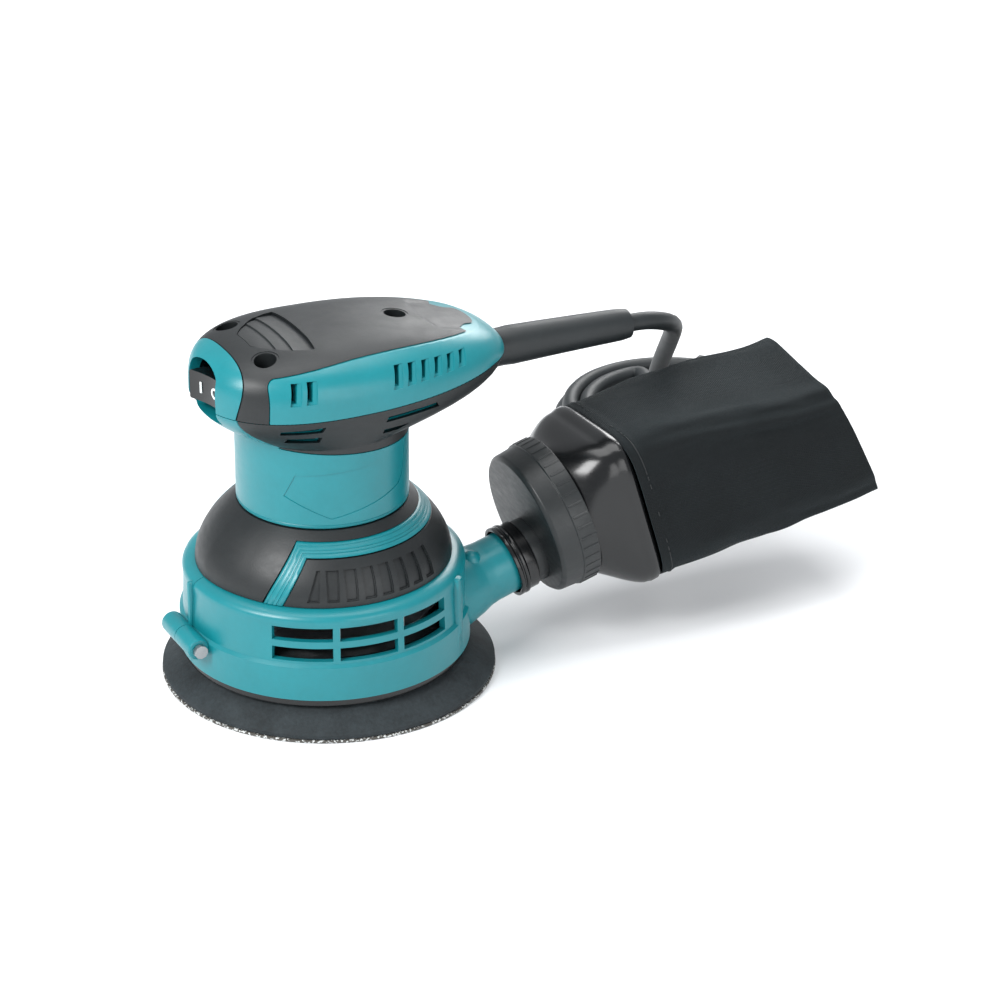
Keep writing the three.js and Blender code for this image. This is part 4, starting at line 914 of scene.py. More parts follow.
def dome_patch(low, high, start, end, columns, rows, front=0.0, back=1.4):
    def place(u, v, w):
        level = lerp(low, high, v)
        return on_dome(lerp(start(level), end(level), u), level, lerp(front, back, w))
    return slab(columns, rows, place)


class SANDER_OT_dome_grip(bpy.types.Operator):
    """Soft black bib and ring on the dome"""

    bl_idname = "sander.dome_grip"
    bl_label = "Dome grip"

    def execute(self, context):
        gap = context.scene.sander_sizes.seam_gap

        def place(u, v, inner):
            level = lerp(DOME_LOW, DOME_TOP - 0.1, v)
            return on_dome(360 * u - 180, level, 1.4 if inner else 0.0)
        grip = shell(180, 26, place)
        arch = dome_patch(40, ARCH_HIGH + gap, lambda h: -arch_outer(h) - 0.4, lambda h: arch_outer(h) + 0.4, 90, 24, -4, 5)
        finished("dome_grip", cut(grip, arch), "soft_grip", "casing", ["dome_grip"], bevel=0.3)
        return {"FINISHED"}


BAND_PROFILE = [(0.0, 0.35), (0.05, 0.0), (0.26, 0.0), (0.29, 0.28), (0.33, 0.28), (0.36, 0.0), (0.46, 0.0),
                (0.49, 0.22), (0.52, 0.22), (0.55, 0.0), (0.76, 0.0), (0.79, 0.22), (0.82, 0.22), (0.85, 0.0), (0.96, 0.0), (1.0, 0.35)]


class SANDER_OT_arch_band(bpy.types.Operator):
    """Teal band that arches over the vent cover, with fine grooves along it"""

    bl_idname = "sander.arch_band"
    bl_label = "Arch band"

    def execute(self, context):
        legs, hoop = 12, 72

        def station(u):
            step = u * (2 * legs + hoop)
            if legs <= step <= legs + hoop:
                turn = 1 - 2 * (step - legs) / hoop
                return (turn * arch_inner(ARCH_LOW), ARCH_LOW), (turn * arch_outer(ARCH_HIGH), ARCH_HIGH)
            side = 1 if step < legs else -1
            s = step / legs if step < legs else (2 * legs + hoop - step) / legs
            low, high = lerp(DOME_LOW, ARCH_LOW, s), lerp(DOME_LOW, ARCH_HIGH, s)
            return (side * arch_inner(low), low), (side * (arch_outer(high) - 0.4), high)

        def place(u, v, w):
            share, dip = BAND_PROFILE[round(v * (len(BAND_PROFILE) - 1))]
            (a0, z0), (a1, z1) = station(u)
            return on_dome(lerp(a0, a1, share), lerp(z0, z1, share), 1.4 if w > 0.5 else dip - 0.15)
        band = slab(2 * legs + hoop, len(BAND_PROFILE) - 1, place)
        finished("arch_band", band, "teal_plastic", "casing", ["arch_band"], sharp=50)
        return {"FINISHED"}


# Blind slots in the vent cover: (lower start, lower end, upper start, upper end) in degrees.
VENT_SLOTS = [(-122.2, -116.6, -118.2, -116.2)] + [
    (-113.2 + 8.42 * k, -107.8 + 8.7 * k - 0.2 * k, -113.8 + 8.65 * k, -107.4 + 8.45 * k) for k in range(7)
]


def vent_slot_cutters():
    cutters = []
    for low_start, low_end, high_start, high_end in VENT_SLOTS:
        for margin, depth in ((0.0, 0.5), (0.5, 1.15)):
            cutters.append(dome_patch(
                49.5 + margin * 0.6, 60.1 - margin * 0.6,
                lambda h, a=low_start, b=high_start, m=margin: lerp(a, b, clamp((h - 49.5) / 10.6)) + m,
                lambda h, a=low_end, b=high_end, m=margin: lerp(a, b, clamp((h - 49.5) / 10.6)) - m,
                3, 4, -3, depth))
    return cutters


class SANDER_OT_vent_cover(bpy.types.Operator):
    """Black cover round the back of the dome, with a row of blind slots"""

    bl_idname = "sander.vent_cover"
    bl_label = "Vent cover"

    def execute(self, context):
        cover = dome_patch(DOME_LOW, ARCH_LOW - 0.35, lambda h: -arch_inner(h) + 0.5, lambda h: arch_inner(h) - 0.5, 120, 14)
        shallow, deep = vent_slot_cutters()[0::2], vent_slot_cutters()[1::2]
        cover = cut(cover, joined(*shallow), joined(*deep))
        finished("vent_cover", cover, "soft_grip", "casing", ["vent_cover"], bevel=0.18)
        return {"FINISHED"}


# ---------------------------------------------------------------- skirt, pad and brake
SKIRT = {"bottom": 13.3, "top": 47.2, "radius": 54.2, "wall": 2.4}
VENT_ROWS = ((28.4, 33.6), (36.2, 41.6))
VENT_EDGES = (-136, -110, -83, -58)
SPLIT = 20.0
SPOUT_ROOT = Vector((51.5, -14, 28.2))
SPOUT_TILT = math.radians(15.5)


def along_spout(bm, roll=0.0):
    """Lays a piece made along Z down the spout's line."""
    turn = Matrix.Rotation(math.radians(90) - SPOUT_TILT, 4, "Y") @ Matrix.Rotation(math.radians(90), 4, "Z")
    return moved(bm, Matrix.Translation(SPOUT_ROOT) @ turn @ Matrix.Rotation(-math.radians(roll), 4, "Z"))


def ring_cutter(low, high, start, end, inner=40.0, outer=64.0, edge=0.0):
    steps = max(4, int(abs(end - start) / 4))

    def place(u, v, w):
        angle = math.radians(lerp(start, end, u))
        radius = lerp(outer, inner, w)
        return Vector((radius * math.cos(angle), radius * math.sin(angle), lerp(low, high, v)))
    return slab(steps, 1, place)


def skirt_solid(inset):
    extra = 1 if inset else 0
    return turned([
        (0, 13.3 - extra), (54.2 - inset, 13.3 - extra), (54.0 - inset, 26.3), (53.2 - inset, 27.0), (52.7 - inset, 27.4),
        (52.4 - inset, 35), (52.2 - inset, 41), (52.4 - inset, 42.6), (52.5 - inset, 44.2), (52.0 - inset, 45.3),
        (50.8 - inset, 46.2), (49.2 - inset, 46.9), (47.8 - inset, 47.2 + extra), (0, 47.2 + extra)], 128)


def skirt_body():
    boss_reach = 56.4
    boss = moved(turned([(0, -13), (4.2, -13), (4.2, 13), (0, 13)], 24, 1.2), Matrix.Translation((-boss_reach, 0, 25)) @ Matrix.Rotation(math.radians(90), 4, "X"))
    rear_turn = Matrix.Rotation(math.radians(SPLIT), 4, "Z") @ Matrix.Translation((boss_reach, 0, 25)) @ Matrix.Rotation(math.radians(90), 4, "X")
    rear = moved(turned([(0, -9), (4.2, -9), (4.2, 9), (0, 9)], 24, 1.2), rear_turn)
    spout = along_spout(turned([(0, -22), (16, -22), (15.2, -6), (13.6, 1.5), (12.4, 5), (11.9, 9), (11.7, 22), (0, 22)], 64, 0.8))
    rib = block((3.4, 5, 24), (0, 0, 0), 1.2)
    rib = moved(rib, Matrix.Rotation(math.radians(-47), 4, "Z") @ Matrix.Translation((52.6, 0, 33.0)) @ Matrix.Rotation(math.radians(0), 4, "Z"))
    nub = moved(turned([(0, -6.5), (3.9, -6.5), (3.9, 3.0), (2.8, 5.2), (0, 6.4)], 28, 1.0), Matrix.Translation((52.2, -17.6, 36.6)))
    front_rib = moved(block((3, 2.4, 19), (0, 0, 0), 0.9), Matrix.Translation((-52.6, 1.9, 36)))
    whole = united(skirt_solid(0), boss, rear, spout, rib, nub, front_rib)
    inside = skirt_solid(SKIRT["wall"])
    bore = along_spout(turned([(0, -30), (9.2, -30), (9.2, 26), (0, 26)], 32))
    vents = []
    for i in range(3):
        start = VENT_EDGES[i] + (1.4 if i else 0)
        end = VENT_EDGES[i + 1] - (1.4 if i < 2 else 0)
        vents += [ring_cutter(low, high, start, end) for low, high in VENT_ROWS]
    sill = ring_cutter(27.3, 43.0, VENT_EDGES[0] - 1.0, VENT_EDGES[-1] + 1.2, 52.05, 60)
    holes = [moved(turned([(0, -30), (1.9, -30), (1.9, 30), (0, 30)], 20), turn) for turn in (
        Matrix.Translation((-boss_reach, 0, 25)) @ Matrix.Rotation(math.radians(90), 4, "X"), rear_turn)]
    return cut(whole, inside, bore, joined(*vents), *holes)


class SANDER_OT_skirt(bpy.types.Operator):
    """Two-part teal skirt with vents, clamp bosses and the dust spout"""

    bl_idname = "sander.skirt"
    bl_label = "Skirt"

    def execute(self, context):
        whole = skirt_body()
        angle = math.radians(SPLIT)

        def far_half(gap):
            points = [(-90, gap), (0, gap), (90 * math.cos(angle) - gap * math.sin(angle), 90 * math.sin(angle) + gap * math.cos(angle)), (90, 90), (-90, 90)]
            return prism(points, [(0, 0), (60, 0)])
        mesh = bpy.data.meshes.new("both")
        whole.to_mesh(mesh)
        other = bmesh.new()
        other.from_mesh(mesh)
        bpy.data.meshes.remove(mesh)
        finished("skirt_near", cut(whole, far_half(-0.15)), "teal_plastic", "casing", ["skirt_near"], bevel=0.4)
        finished("skirt_far", common(other, far_half(0.15)), "teal_plastic", "casing", ["skirt_far"], bevel=0.4)
        return {"FINISHED"}


def dust_hole_tools(bottom, top):
    tools = []
    for k in range(8):
        angle = TURN * (k + 0.5) / 8
        drill = turned([(0, bottom), (4.5, bottom), (4.5, top), (0, top)], 28)
        tools.append(moved(drill, Matrix.Translation((1.4 + 32.5 * math.cos(angle), 32.5 * math.sin(angle), 0))))
    return tools


class SANDER_OT_pad(bpy.types.Operator):
    """Foam pad, abrasive disc and the rubber brake ring"""

    bl_idname = "sander.pad"
    bl_label = "Pad and brake"

    def execute(self, context):
        shift = Matrix.Translation((1.4, 0, 0))
        pad = turned([(7.5, 1.3), (62.1, 1.3), (62.35, 1.9), (62.3, 2.9), (61.6, 3.5), (59.0, 5.1), (55.5, 7.3), (51.5, 9.3), (50, 9.9), (7.5, 9.9)], 144)
        pad = cut(moved(pad, shift), *dust_hole_tools(0, 20))
        finished("backing_pad", pad, "pad_rubber", "pad", ["backing_pad"])
        disc = turned([(0, 0), (62.3, 0), (62.5, 0.2), (62.5, 0.85), (62.35, 1.0), (0, 1.0)], 144)
        disc = cut(moved(disc, shift), *dust_hole_tools(-5, 5))
        finished("abrasive_disc", disc, "abrasive", "pad", ["abrasive_disc"])
        brake = turned([(47.9, 11.4), (50, 10.4), (53.2, 10.4), (53.2, 13.0), (51.5, 13.0), (51.5, 16.5), (49.9, 16.5)], 128, 0.35)
        finished("brake_ring", brake, "black_plastic", "casing", ["brake_ring"])
        return {"FINISHED"}


# ---------------------------------------------------------------- switch
PIVOT = Vector((-39, 0, 121.5))


class SANDER_OT_switch(bpy.types.Operator):
    """Rocker with its two printed marks"""

    bl_idname = "sander.switch"
    bl_label = "Switch"

    def execute(self, context):
        half = 9.5
        face = [(-6.8 + 1.15 * (1 - (k / 8) ** 2), half * k / 8) for k in range(-8, 9)]
        outline = [*face, (-1.5, half - 1), (3, 2), (3, -2), (-1.5, 1 - half)]
        rest = Matrix.Translation(PIVOT) @ Matrix.Rotation(math.radians(15), 4, "Z")
        rocker = prism(outline, [(-5.5, -0.5), (-5.1, 0.0), (5.1, 0.0), (5.5, -0.5)])
        finished("switch_rocker", moved(rocker, rest), "black_plastic", "rocker", ["switch_rocker"], sharp=25)
        lean = math.radians(8.5)
        bar = moved(block((0.3, 0.9, 4.2), (0, 0, 0)), rest @ Matrix.Translation((-6.1, 3.9, 0)) @ Matrix.Rotation(lean, 4, "Z"))
        finished("mark_on", bar, "mark", "rocker")
        ring = turned([(1.35, -0.15), (2.1, -0.15), (2.1, 0.15), (1.35, 0.15)], 32)
        face_on = Matrix.Rotation(math.radians(90), 4, "Y")
        ring = moved(ring, rest @ Matrix.Translation((-6.1, -3.9, 0)) @ Matrix.Rotation(-lean, 4, "Z") @ face_on)
        finished("mark_off", ring, "mark", "rocker")
        return {"FINISHED"}


# ---------------------------------------------------------------- cord
CORD_ROUTE = [
    (127.6, 0, 113.8), (136, 0.6, 113), (146, 4.5, 109.2), (155, 13, 102.5), (161, 25, 92), (164.5, 38, 76),
    (166, 49, 56), (165.5, 57.5, 35), (163.5, 65, 17), (160.5, 74.5, 6.5), (157.8, 87, 3.6), (157.2, 100, 3.6), (160.2, 120, 3.6),
]
COIL = {"centre": (213, 112), "radius": 39.0, "pitch": 7.05}
PLUG = {"x": 217.0, "y": 73.0, "bottom": 18.3, "length": 34.0, "width": 35.0, "height": 15.0}


def length_of(points):
    return sum((Vector(b) - Vector(a)).length for a, b in zip(points, points[1:]))


def coil_points(length):
    """Turns beside and on each other, from the floor up, until the length is used."""
    cx, cy = COIL["centre"]
    pitch = COIL["pitch"]
    lanes = [(1, 0), (0, 0), (-1, 0), (-1, 1), (0, 1), (1, 1), (0.5, 1.86), (-0.5, 1.86)]
    points, used, step = [], 0.0, 0
    steps = 24
    start = math.atan2(CORD_ROUTE[-1][1] - cy, CORD_ROUTE[-1][0] - cx)
    last = Vector(CORD_ROUTE[-1])
    while used < length:
        turn = step / steps
        lane = min(int(turn), len(lanes) - 2)
        t = smooth((turn - lane - 0.62) / 0.38) if turn < len(lanes) - 1 else 1.0
        (r0, h0), (r1, h1) = lanes[lane], lanes[lane + 1]
        radius = COIL["radius"] + pitch * lerp(r0, r1, t)
        level = 3.55 + pitch * lerp(h0, h1, t)
        angle = start - TURN * turn
        point = Vector((cx + radius * math.cos(angle), cy + radius * math.sin(angle), level))
        if step:
            used += (point - last).length
            points.append(tuple(point))
        last = point
        step += 1
    return points


class SANDER_OT_cord(bpy.types.Operator):
    """Mains cord from its guard to its plug, coiled behind the tool"""

    bl_idname = "sander.cord"
    bl_label = "Cord"

    def execute(self, context):
        sizes = context.scene.sander_sizes
        route = [Vector(p) for p in CORD_ROUTE]
        rest = sizes.cord_length / MM - length_of(route) - 36
        points = [*CORD_ROUTE, *coil_points(rest)]
        tail = Vector(points[-1])
        plug_end = Vector((PLUG["x"] - PLUG["length"] / 2 - 1, PLUG["y"], PLUG["bottom"] + PLUG["height"] / 2))
        line = bpy.data.curves.new("cord", "CURVE")
        line.dimensions = "3D"
        line.bevel_depth = sizes.cord_diameter / 2
        line.bevel_resolution = 5
        line.use_fill_caps = True
        spline = line.splines.new("POLY")
        path = smoothed([*points, *lead_in(points, plug_end)])
        spline.points.add(len(path) - 1)
        for target, point in zip(spline.points, path):
            target.co = (*(Vector(point) * MM), 1)
        spline.use_smooth = True
        line.materials.append(FINISHES["black_rubber"])
        cord = bpy.data.objects.new("cord", line)
        context.scene.collection.objects.link(cord)
        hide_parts("cord_tube", "cord_coil")
        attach(cord, "casing")
        guard = self.guard()
        pieces = [guard, *self.plug(), self.tie()]
        return {"FINISHED"}

    def guard(self):
        """Tapered guard with a smooth root and a soft ring at its tip."""
        profile = [(0.0, 0.0, 8.3), (0.035, 0.0, 8.3), (0.045, 0.0, 7.35), (0.3, 0, 7.2), (0.33, 0, 7.45), (0.6, 0, 6.85), (0.9, 0, 6.25), (0.985, 0, 6.0), (1.0, 0, 5.6)]
        rows = 24

        def radius_at(t):
            for (t0, _, r0), (t1, _, r1) in zip(profile, profile[1:]):
                if t <= t1:
                    return lerp(r0, r1, (t - t0) / (t1 - t0))
            return profile[-1][2]

        def place(u, v, inner):
            t = v
            radius = 3.65 if inner else radius_at(t)
            x = lerp(GUARD["start"], GUARD["end"], t)
            angle = TURN * u
            level = GUARD["level"] - 1.2 * t * t
            return Vector((x, radius * math.sin(angle), level + radius * math.cos(angle)))
        return finished("cord_guard", shell(40, rows, place), "black_rubber", "casing", ["cord_guard"])

    def plug(self):
        x, y, bottom = PLUG["x"], PLUG["y"], PLUG["bottom"]
        length, width, height = PLUG["length"], PLUG["width"], PLUG["height"]
        back = -length / 2
        outline = [(back, -4), (back + 6, -6), (back + 12, -width / 2 + 2.5), (length / 2 - 2, -width / 2), (length / 2, -width / 2 + 1.5),
                   (length / 2, width / 2 - 1.5), (length / 2 - 2, width / 2), (back + 12, width / 2 - 2.5), (back + 6, 6), (back, 4)]
        body = prism(outline, [(0, -1.6), (1.2, 0), (height - 1.2, 0), (height, -1.6)])
        body = moved(body, Matrix.Translation((x, y, bottom)))
        ribs = [block((1.6, 9 + 2 * k, height * 0.7), (x + back + 1.5 + 3 * k, y, bottom + height / 2), 0.6) for k in range(3)]
        made = [finished("plug", joined(body, *ribs), "black_rubber", "casing", ["plug"])]
        for number, side in ((1, -1), (2, 1)):
            pin = turned([(0, 0), (2.4, 0), (2.4, 17.4), (1.2, 19), (0, 19)], 24, 0.4)
            turn = Matrix.Translation((x + length / 2 + 0.3, y + side * 9.5, bottom + height / 2)) @ Matrix.Rotation(math.radians(90), 4, "Y")
            made.append(finished(f"plug_pin_{number}", moved(pin, turn), "brass", "casing", [f"plug_pin_{number}"]))
        return made

    def tie(self):
        """A soft strap round the coil's turns."""
        cx, cy = COIL["centre"]

        def place(u, v, inner):
            angle = TURN * u
            grow = 0.0 if inner else 0.9
            x = (11.2 + grow) * power(math.cos(angle), 0.45)
            z = (9.7 + grow) * power(math.sin(angle), 0.45)
            return Vector((COIL["radius"] + x, lerp(-4.5, 4.5, v), 9.9 + z))
        strap = moved(shell(48, 2, place), Matrix.Translation((cx, cy, 0)) @ Matrix.Rotation(math.radians(40), 4, "Z"))
        return finished("cord_tie", strap, "soft_grip", "casing")


def lead_in(points, end):
    """The last stretch, from the coil's top up to the plug's tail."""
    start = Vector(points[-1])
    ahead = (start - Vector(points[-2])).normalized()
    reach = (end - start).length
    a, b = start + ahead * reach * 0.4, end - Vector((1, 0, 0)) * reach * 0.4
    made = []
    for k in range(1, 9):
        t = k / 8
        made.append(tuple(start * (1 - t) ** 3 + a * 3 * t * (1 - t) ** 2 + b * 3 * t * t * (1 - t) + end * t ** 3))
    return made


def smoothed(points, steps=3):
    """Catmull-Rom points through a route."""
    route = [Vector(p) for p in points]
    made = []
    for i in range(len(route) - 1):
        p0, p1, p2, p3 = route[max(i - 1, 0)], route[i], route[i + 1], route[min(i + 2, len(route) - 1)]
        for k in range(steps):
            t = k / steps
            made.append(0.5 * (2 * p1 + (p2 - p0) * t + (2 * p0 - 5 * p1 + 4 * p2 - p3) * t * t + (3 * p1 - p0 - 3 * p2 + p3) * t ** 3))
    return [*made, route[-1]]


# ---------------------------------------------------------------- dust bag
DRUM = {"start": 29.5, "depth": 16.0, "radius": 28.0, "rise": 10.5}
ROLL = 4.0
FRAME_START, FRAME_END = 45.8, 66.8
BAG_START = 67.1


def rounded_section(angle, width, height, squareness):
    exponent = 2 / lerp(2, 6, squareness)
    return width / 2 * power(math.sin(angle), exponent), height / 2 * power(math.cos(angle), exponent)


class SANDER_OT_cuff(bpy.types.Operator):
    """Glossy cuff that turns on the spout"""

    bl_idname = "sander.cuff"
    bl_label = "Cuff"

    def execute(self, context):
        cuff = turned([(12.7, 17), (14.0, 17), (14.0, 18.4), (13.5, 18.7), (13.5, 19.2), (14.0, 19.5), (14.0, 20.6), (13.3, 21.0), (13.3, 25), (12.7, 25)], 96, 0.25)
        finished("bag_cuff", along_spout(cuff), "black_plastic", "cuff", ["bag_cuff"])
        return {"FINISHED"}


class SANDER_OT_inlet(bpy.types.Operator):
    """Inlet pipe and the round cap that it enters"""

    bl_idname = "sander.inlet"
    bl_label = "Inlet"

    def execute(self, context):
        start, end, radius = DRUM["start"], DRUM["start"] + DRUM["depth"], DRUM["radius"]
        pipe = turned([(9.2, 25.3), (12.6, 25.3), (12.6, start + 1.5), (9.2, start + 1.5)], 64, 0.3)
        cap = turned([(0, start), (radius - 1.4, start), (radius, start + 1.4), (radius + 0.5, end - 7.4), (radius + 0.95, end - 7.2),
                      (radius + 1, end), (radius - 1.4, end), (radius - 2, start + 2.4), (0, start + 2.4)], 128, 0.35)
        cap = moved(cap, Matrix.Translation((0, DRUM["rise"], 0)))
        mouth = turned([(0, 20), (9.2, 20), (9.2, 60), (0, 60)], 48)
        whole = cut(joined_solid(pipe, cap), mouth)
        finished("bag_inlet", along_spout(whole, ROLL), "dark_plastic", "bag", ["bag_inlet"])
        ribs = []
        for k in range(40):
            angle = TURN * k / 40
            rib = block((0.5, 0.9, 6.4), (radius + 1.0, 0, end - 3.5), 0.2, 1)
            ribs.append(moved(rib, Matrix.Translation((0, DRUM["rise"], 0)) @ Matrix.Rotation(angle, 4, "Z")))
        finished("inlet_ribs", along_spout(joined(*ribs), ROLL), "dark_plastic", "bag")
        return {"FINISHED"}


def joined_solid(*parts):
    first, *rest = parts
    return united(first, *rest)


def funnel_point(angle, along, inset=0.0):
    s = clamp((along - FRAME_START) / 14.7)
    size = [lerp(55.0, full, smooth(s)) - 2 * inset for full in (58.0, 62.0)]
    side, up = rounded_section(angle, *size, s * 0.85)
    return Vector((side, DRUM["rise"] * (1 - 0.35 * s) + up, along))


class SANDER_OT_bag_frame(bpy.types.Operator):
    """Glossy funnel between the round cap and the cloth"""

    bl_idname = "sander.bag_frame"
    bl_label = "Bag frame"

    def execute(self, context):
        rows = 16

        def place(u, v, inner):
            along = lerp(FRAME_START, FRAME_END, v)
            lip = 0.8 * smooth((v - 0.72) / 0.1) - 1.2 * smooth((v - 0.93) / 0.07)
            return funnel_point(TURN * u, along, 2.0 if inner else -lip * 0.6)
        frame_shell = along_spout(shell(120, rows, place), ROLL)
        finished("bag_frame", frame_shell, "black_plastic", "bag", ["bag_frame"])
        return {"FINISHED"}


def bag_skin(u, t, sizes):
    """A point on the cloth: u runs round the section and t from the hem to the far end."""
    angle = TURN * u
    width, height = 60.5, 59.5
    swell = 1 + 0.035 * math.sin(math.pi * min(t * 1.15, 1))
    side, up = rounded_section(angle, width * swell, height * swell, 0.82)
    near = clamp(0.5 - side / width)
    top = clamp(0.5 + up / height)
    up -= (4.5 + 9.0 * near) * top * smooth(t) ** 1.1
    up -= 3.2 * (1 - top) * smooth(t)
    along = BAG_START + sizes.bag_length * t
    along += (5.0 * (1 - top) - 3.0 * near * top + 2.0) * t * t
    drop = 7.0 * t
    c, s = math.cos(angle), math.sin(angle)
    fold = noise.noise(Vector((c * 2.6, s * 2.6, t * 1.3 + 3))) * 1.1 + noise.noise(Vector((c * 1.5, s * 1.5, t * 3.2 + 7))) * 1.0
    fine = noise.noise(Vector((c * 6, s * 6, t * 7))) * 0.28
    depth = sizes.fold_depth * smooth(t * 3.2) * (fold + fine)
    out = Vector((side, up)).normalized()
    return Vector((side + out.x * depth, DRUM["rise"] * 0.65 - drop + up + out.y * depth, along))


class SANDER_OT_dust_bag(bpy.types.Operator):
    """Cloth bag with a stitched hem and soft folds"""

    bl_idname = "sander.dust_bag"
    bl_label = "Dust bag"

    def execute(self, context):
        sizes = context.scene.sander_sizes
        columns, rows, ends = 128, 60, 14
        bm = bmesh.new()
        bmesh.ops.create_grid(bm, x_segments=columns, y_segments=rows + ends, size=0.5)
        layer = bm.loops.layers.uv.new("cloth")
        for face in bm.faces:
            for loop in face.loops:
                loop[layer].uv = ((loop.vert.co.x + 0.5) * 0.224, (loop.vert.co.y + 0.5) * 0.12)
        middle = Vector((0, 0, 0))
        rim = [bag_skin(k / columns, 1.0, sizes) for k in range(columns)]
        for point in rim:
            middle += point / columns
        for vert in bm.verts:
            u, row = vert.co.x + 0.5, round((vert.co.y + 0.5) * (rows + ends))
            if row <= rows:
                t = row / rows
                point = bag_skin(u, t, sizes)
                hem = 0.55 * (1 - smooth((t - 0.052) / 0.008)) - 0.35 * math.exp(-((t - 0.057) / 0.006) ** 2)
                out = Vector((point.x, point.y - DRUM["rise"] * 0.65, 0)).normalized()
                vert.co = point + out * hem
            else:
                share = (row - rows) / ends
                edge = bag_skin(u, 1.0, sizes)
                bulge = 2.6 * math.sin(math.pi / 2 * share) + 0.9 * noise.noise(Vector((edge.x * 0.05, edge.y * 0.05, share * 3)))* math.sin(math.pi * share)
                vert.co = edge.lerp(middle, share ** 0.9) + Vector((0, 0, bulge))
        bmesh.ops.remove_doubles(bm, verts=bm.verts[:], dist=1e-3)
        bmesh.ops.recalc_face_normals(bm, faces=bm.faces[:])
        bag = along_spout(bm, ROLL)
        made = finished("dust_bag", bag, "bag_cloth", "bag", ["dust_bag"], sharp=70)
        wall = made.modifiers.new("cloth", "SOLIDIFY")
        wall.thickness = 0.8 * MM
        wall.offset = -1
        self.stitches(sizes)
        return {"FINISHED"}

    def stitches(self, sizes):
        """A row of short stitches round the hem."""
        count, t = 74, 0.04
        parts = []
        for k in range(count):
            u = (k + 0.5) / count
            point, ahead = bag_skin(u, t, sizes), bag_skin(u + 0.002, t, sizes)
            middle = Vector((0, DRUM["rise"] * 0.65, point.z))
            out = (point - middle).normalized()
            tangent = (ahead - point).normalized()
            side = tangent.cross(out)
            turn = Matrix((tangent, side, out)).transposed().to_4x4()
            turn.translation = point + out * 0.62
            parts.append(moved(block((1.9, 0.42, 0.34), (0, 0, 0), 0.14, 1), turn))
        thread = along_spout(joined(*parts), ROLL)
        return finished("hem_stitches", thread, "soft_grip", "bag")


# ---------------------------------------------------------------- what stays of the CAD
KEPT = {
    "steel": ["pad_spindle", "pad_screw", "armature_shaft", "pad_bearing", "lower_bearing", "upper_bearing", "brush_spring_near",
              "brush_spring_far", "skirt_screw_front", "skirt_screw_rear", "clamp_screw_1", "clamp_screw_2", "balance_weight"],
    "laminations": ["rotor_core", "stator_core"],
    "cast_alloy": ["cooling_fan", "bearing_plate"],
    "copper": ["rotor_winding_lower", "rotor_winding_upper", "field_winding_front", "field_winding_rear", "commutator"],
    "brass": ["brush_holder_near", "brush_holder_far"],
    "carbon": ["carbon_brush_near", "carbon_brush_far"],
    "dark_plastic": ["pad_plate", "dust_fan", "fan_baffle", "bearing_bridge", "switch_body", "cord_clamp"],
    "black_rubber": ["inner_lead"],
}


class SANDER_OT_inner_parts(bpy.types.Operator):
    """Finishes for the motor and the other pieces inside"""

    bl_idname = "sander.inner_parts"
    bl_label = "Inner parts"

    def execute(self, context):
        for finish, names in KEPT.items():
            for name in names:
                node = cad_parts[name]
                node.data.materials.clear()
                node.data.materials.append(FINISHES[finish])
        return {"FINISHED"}


# ---------------------------------------------------------------- camera and studio
class SANDER_OT_camera(bpy.types.Operator):
    """Camera at the front, to the left and above"""

    bl_idname = "sander.camera"
    bl_label = "Camera"

    def execute(self, context):
        lens = bpy.data.cameras.new("camera")
        lens.lens = 132.4
        lens.sensor_width = 36
        lens.clip_end = 20
        camera = bpy.data.objects.new("camera", lens)
        context.scene.collection.objects.link(camera)
        forward = Vector((0.4147, 0.7978, -0.4375)).normalized()
        right = forward.cross(Vector((0, 0, 1))).normalized()
        up = right.cross(forward)
        roll = math.radians(0.248)
        right, up = right * math.cos(roll) + up * math.sin(roll), up * math.cos(roll) - right * math.sin(roll)
        turn = Matrix((right, up, -forward)).transposed().to_4x4()
        turn.translation = Vector((-0.5034, -1.1098, 0.6601))
        camera.matrix_world = turn
        context.scene.camera = camera
        finishes(context.scene.sander_colours)
        return {"FINISHED"}


def softbox(name, place, aim, size, energy, tint=(1, 1, 1)):
    lamp = bpy.data.lights.new(name, "AREA")
    lamp.shape = "RECTANGLE"
    lamp.size, lamp.size_y = size
    lamp.energy = energy
    lamp.color = tint
    made = bpy.data.objects.new(name, lamp)
    bpy.context.scene.collection.objects.link(made)
    made.location = place
    made.rotation_mode = "QUATERNION"
    made.rotation_quaternion = (Vector(aim) - Vector(place)).to_track_quat("-Z", "Y")


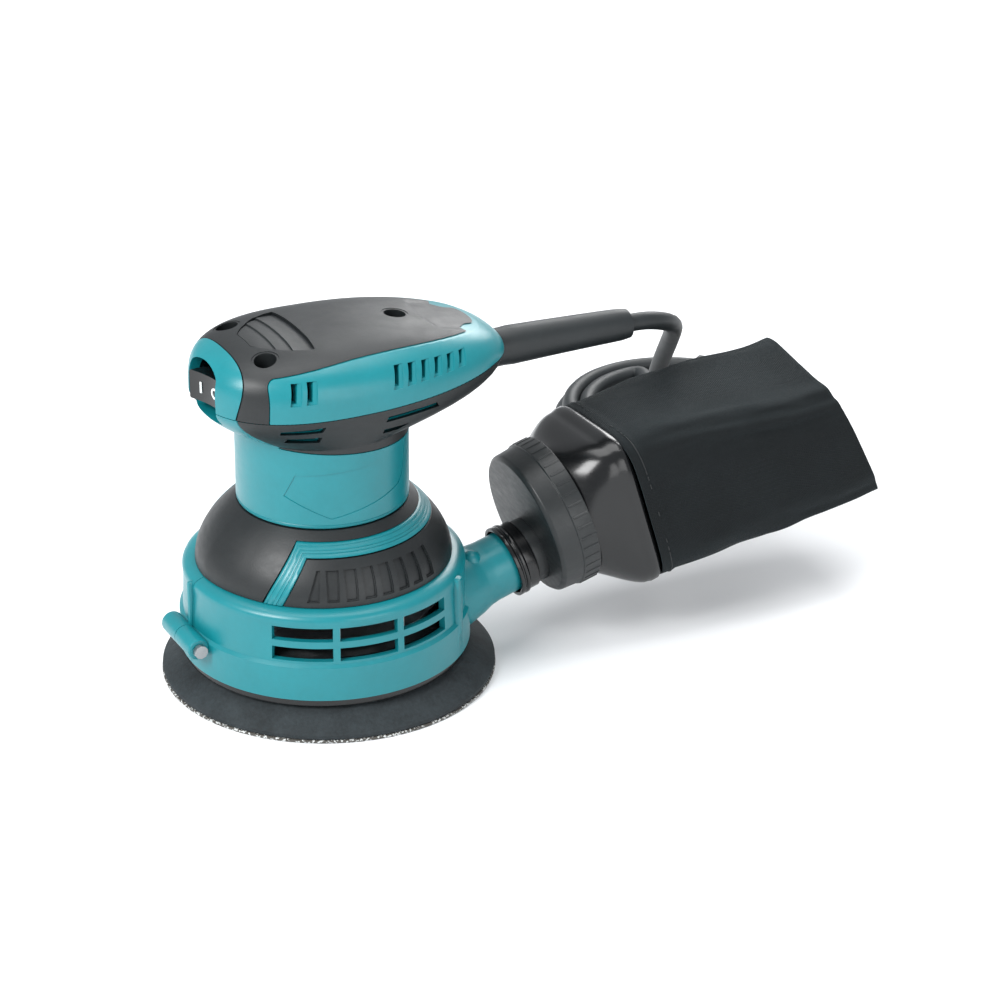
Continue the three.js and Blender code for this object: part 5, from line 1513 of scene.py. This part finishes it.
class SANDER_OT_studio(bpy.types.Operator):
    """Pale floor, soft boxes and a pale surround"""

    bl_idname = "sander.studio"
    bl_label = "Studio"

    def execute(self, context):
        colours = context.scene.sander_colours
        bm = bmesh.new()
        bmesh.ops.create_grid(bm, x_segments=8, y_segments=8, size=6)
        mesh = bpy.data.meshes.new("floor")
        bm.to_mesh(mesh)
        bm.free()
        floor = bpy.data.objects.new("floor", mesh)
        context.scene.collection.objects.link(floor)
        floor.location.z = -0.0002
        paint = Finish("floor", Roughness=0.9)
        cloud = paint.noise(0.5, 2.0)
        paint.set("Base Color", paint.mix(cloud, shade(colours.floor, 0.99), shade(colours.floor, 1.01)))
        mesh.materials.append(paint.material)
        world = bpy.data.worlds.new("studio")
        world.use_nodes = True
        back = next(n for n in world.node_tree.nodes if n.type == "BACKGROUND")
        back.inputs["Color"].default_value = (0.93, 0.96, 1.0, 1)
        back.inputs["Strength"].default_value = 0.55
        context.scene.world = world
        aim = (0.06, 0, 0.07)
        softbox("key", (-1.15, -0.35, 1.05), aim, (0.7, 0.7), 26)
        softbox("overhead", (0.1, 0.2, 1.6), aim, (1.4, 1.1), 17)
        softbox("front_fill", (0.3, -1.5, 0.5), aim, (0.9, 0.9), 7)
        softbox("rim", (0.9, 0.9, 0.7), aim, (0.6, 0.6), 8)
        view = context.scene.view_settings
        view.view_transform = "Standard"
        view.look = "None"
        return {"FINISHED"}


ORDER = ["camera", "cord", "top_cover", "top_grip", "cover_screws", "motor_casing", "collar_grip", "dome_grip", "arch_band",
         "vent_cover", "skirt", "pad", "switch", "cuff", "inlet", "bag_frame", "dust_bag", "inner_parts", "studio"]


class SANDER_PT_parts(bpy.types.Panel):
    """Lists the sander's sizes, colours and pieces"""

    bl_idname = "SANDER_PT_parts"
    bl_label = "Orbital sander"
    bl_space_type = "VIEW_3D"
    bl_region_type = "UI"
    bl_category = "Sander"

    def draw(self, context):
        for group in (context.scene.sander_sizes, context.scene.sander_colours):
            for name in group.__annotations__:
                self.layout.prop(group, name)
        for name in ORDER:
            self.layout.operator(f"sander.{name}")


CLASSES = [
    SanderSizes, SanderColours, SANDER_OT_camera, SANDER_OT_cord, SANDER_OT_top_cover, SANDER_OT_top_grip,
    SANDER_OT_cover_screws, SANDER_OT_motor_casing, SANDER_OT_collar_grip, SANDER_OT_dome_grip, SANDER_OT_arch_band,
    SANDER_OT_vent_cover, SANDER_OT_skirt, SANDER_OT_pad, SANDER_OT_switch, SANDER_OT_cuff, SANDER_OT_inlet,
    SANDER_OT_bag_frame, SANDER_OT_dust_bag, SANDER_OT_inner_parts, SANDER_OT_studio, SANDER_PT_parts,
]


def register():
    for item in CLASSES:
        bpy.utils.register_class(item)
    bpy.types.Scene.sander_sizes = PointerProperty(type=SanderSizes)
    bpy.types.Scene.sander_colours = PointerProperty(type=SanderColours)


def unregister():
    del bpy.types.Scene.sander_sizes
    del bpy.types.Scene.sander_colours
    for item in reversed(CLASSES):
        bpy.utils.unregister_class(item)


def main():
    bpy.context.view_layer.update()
    register()
    for name in ORDER:
        getattr(bpy.ops.sander, name)()


if __name__ == "__main__":
    main()
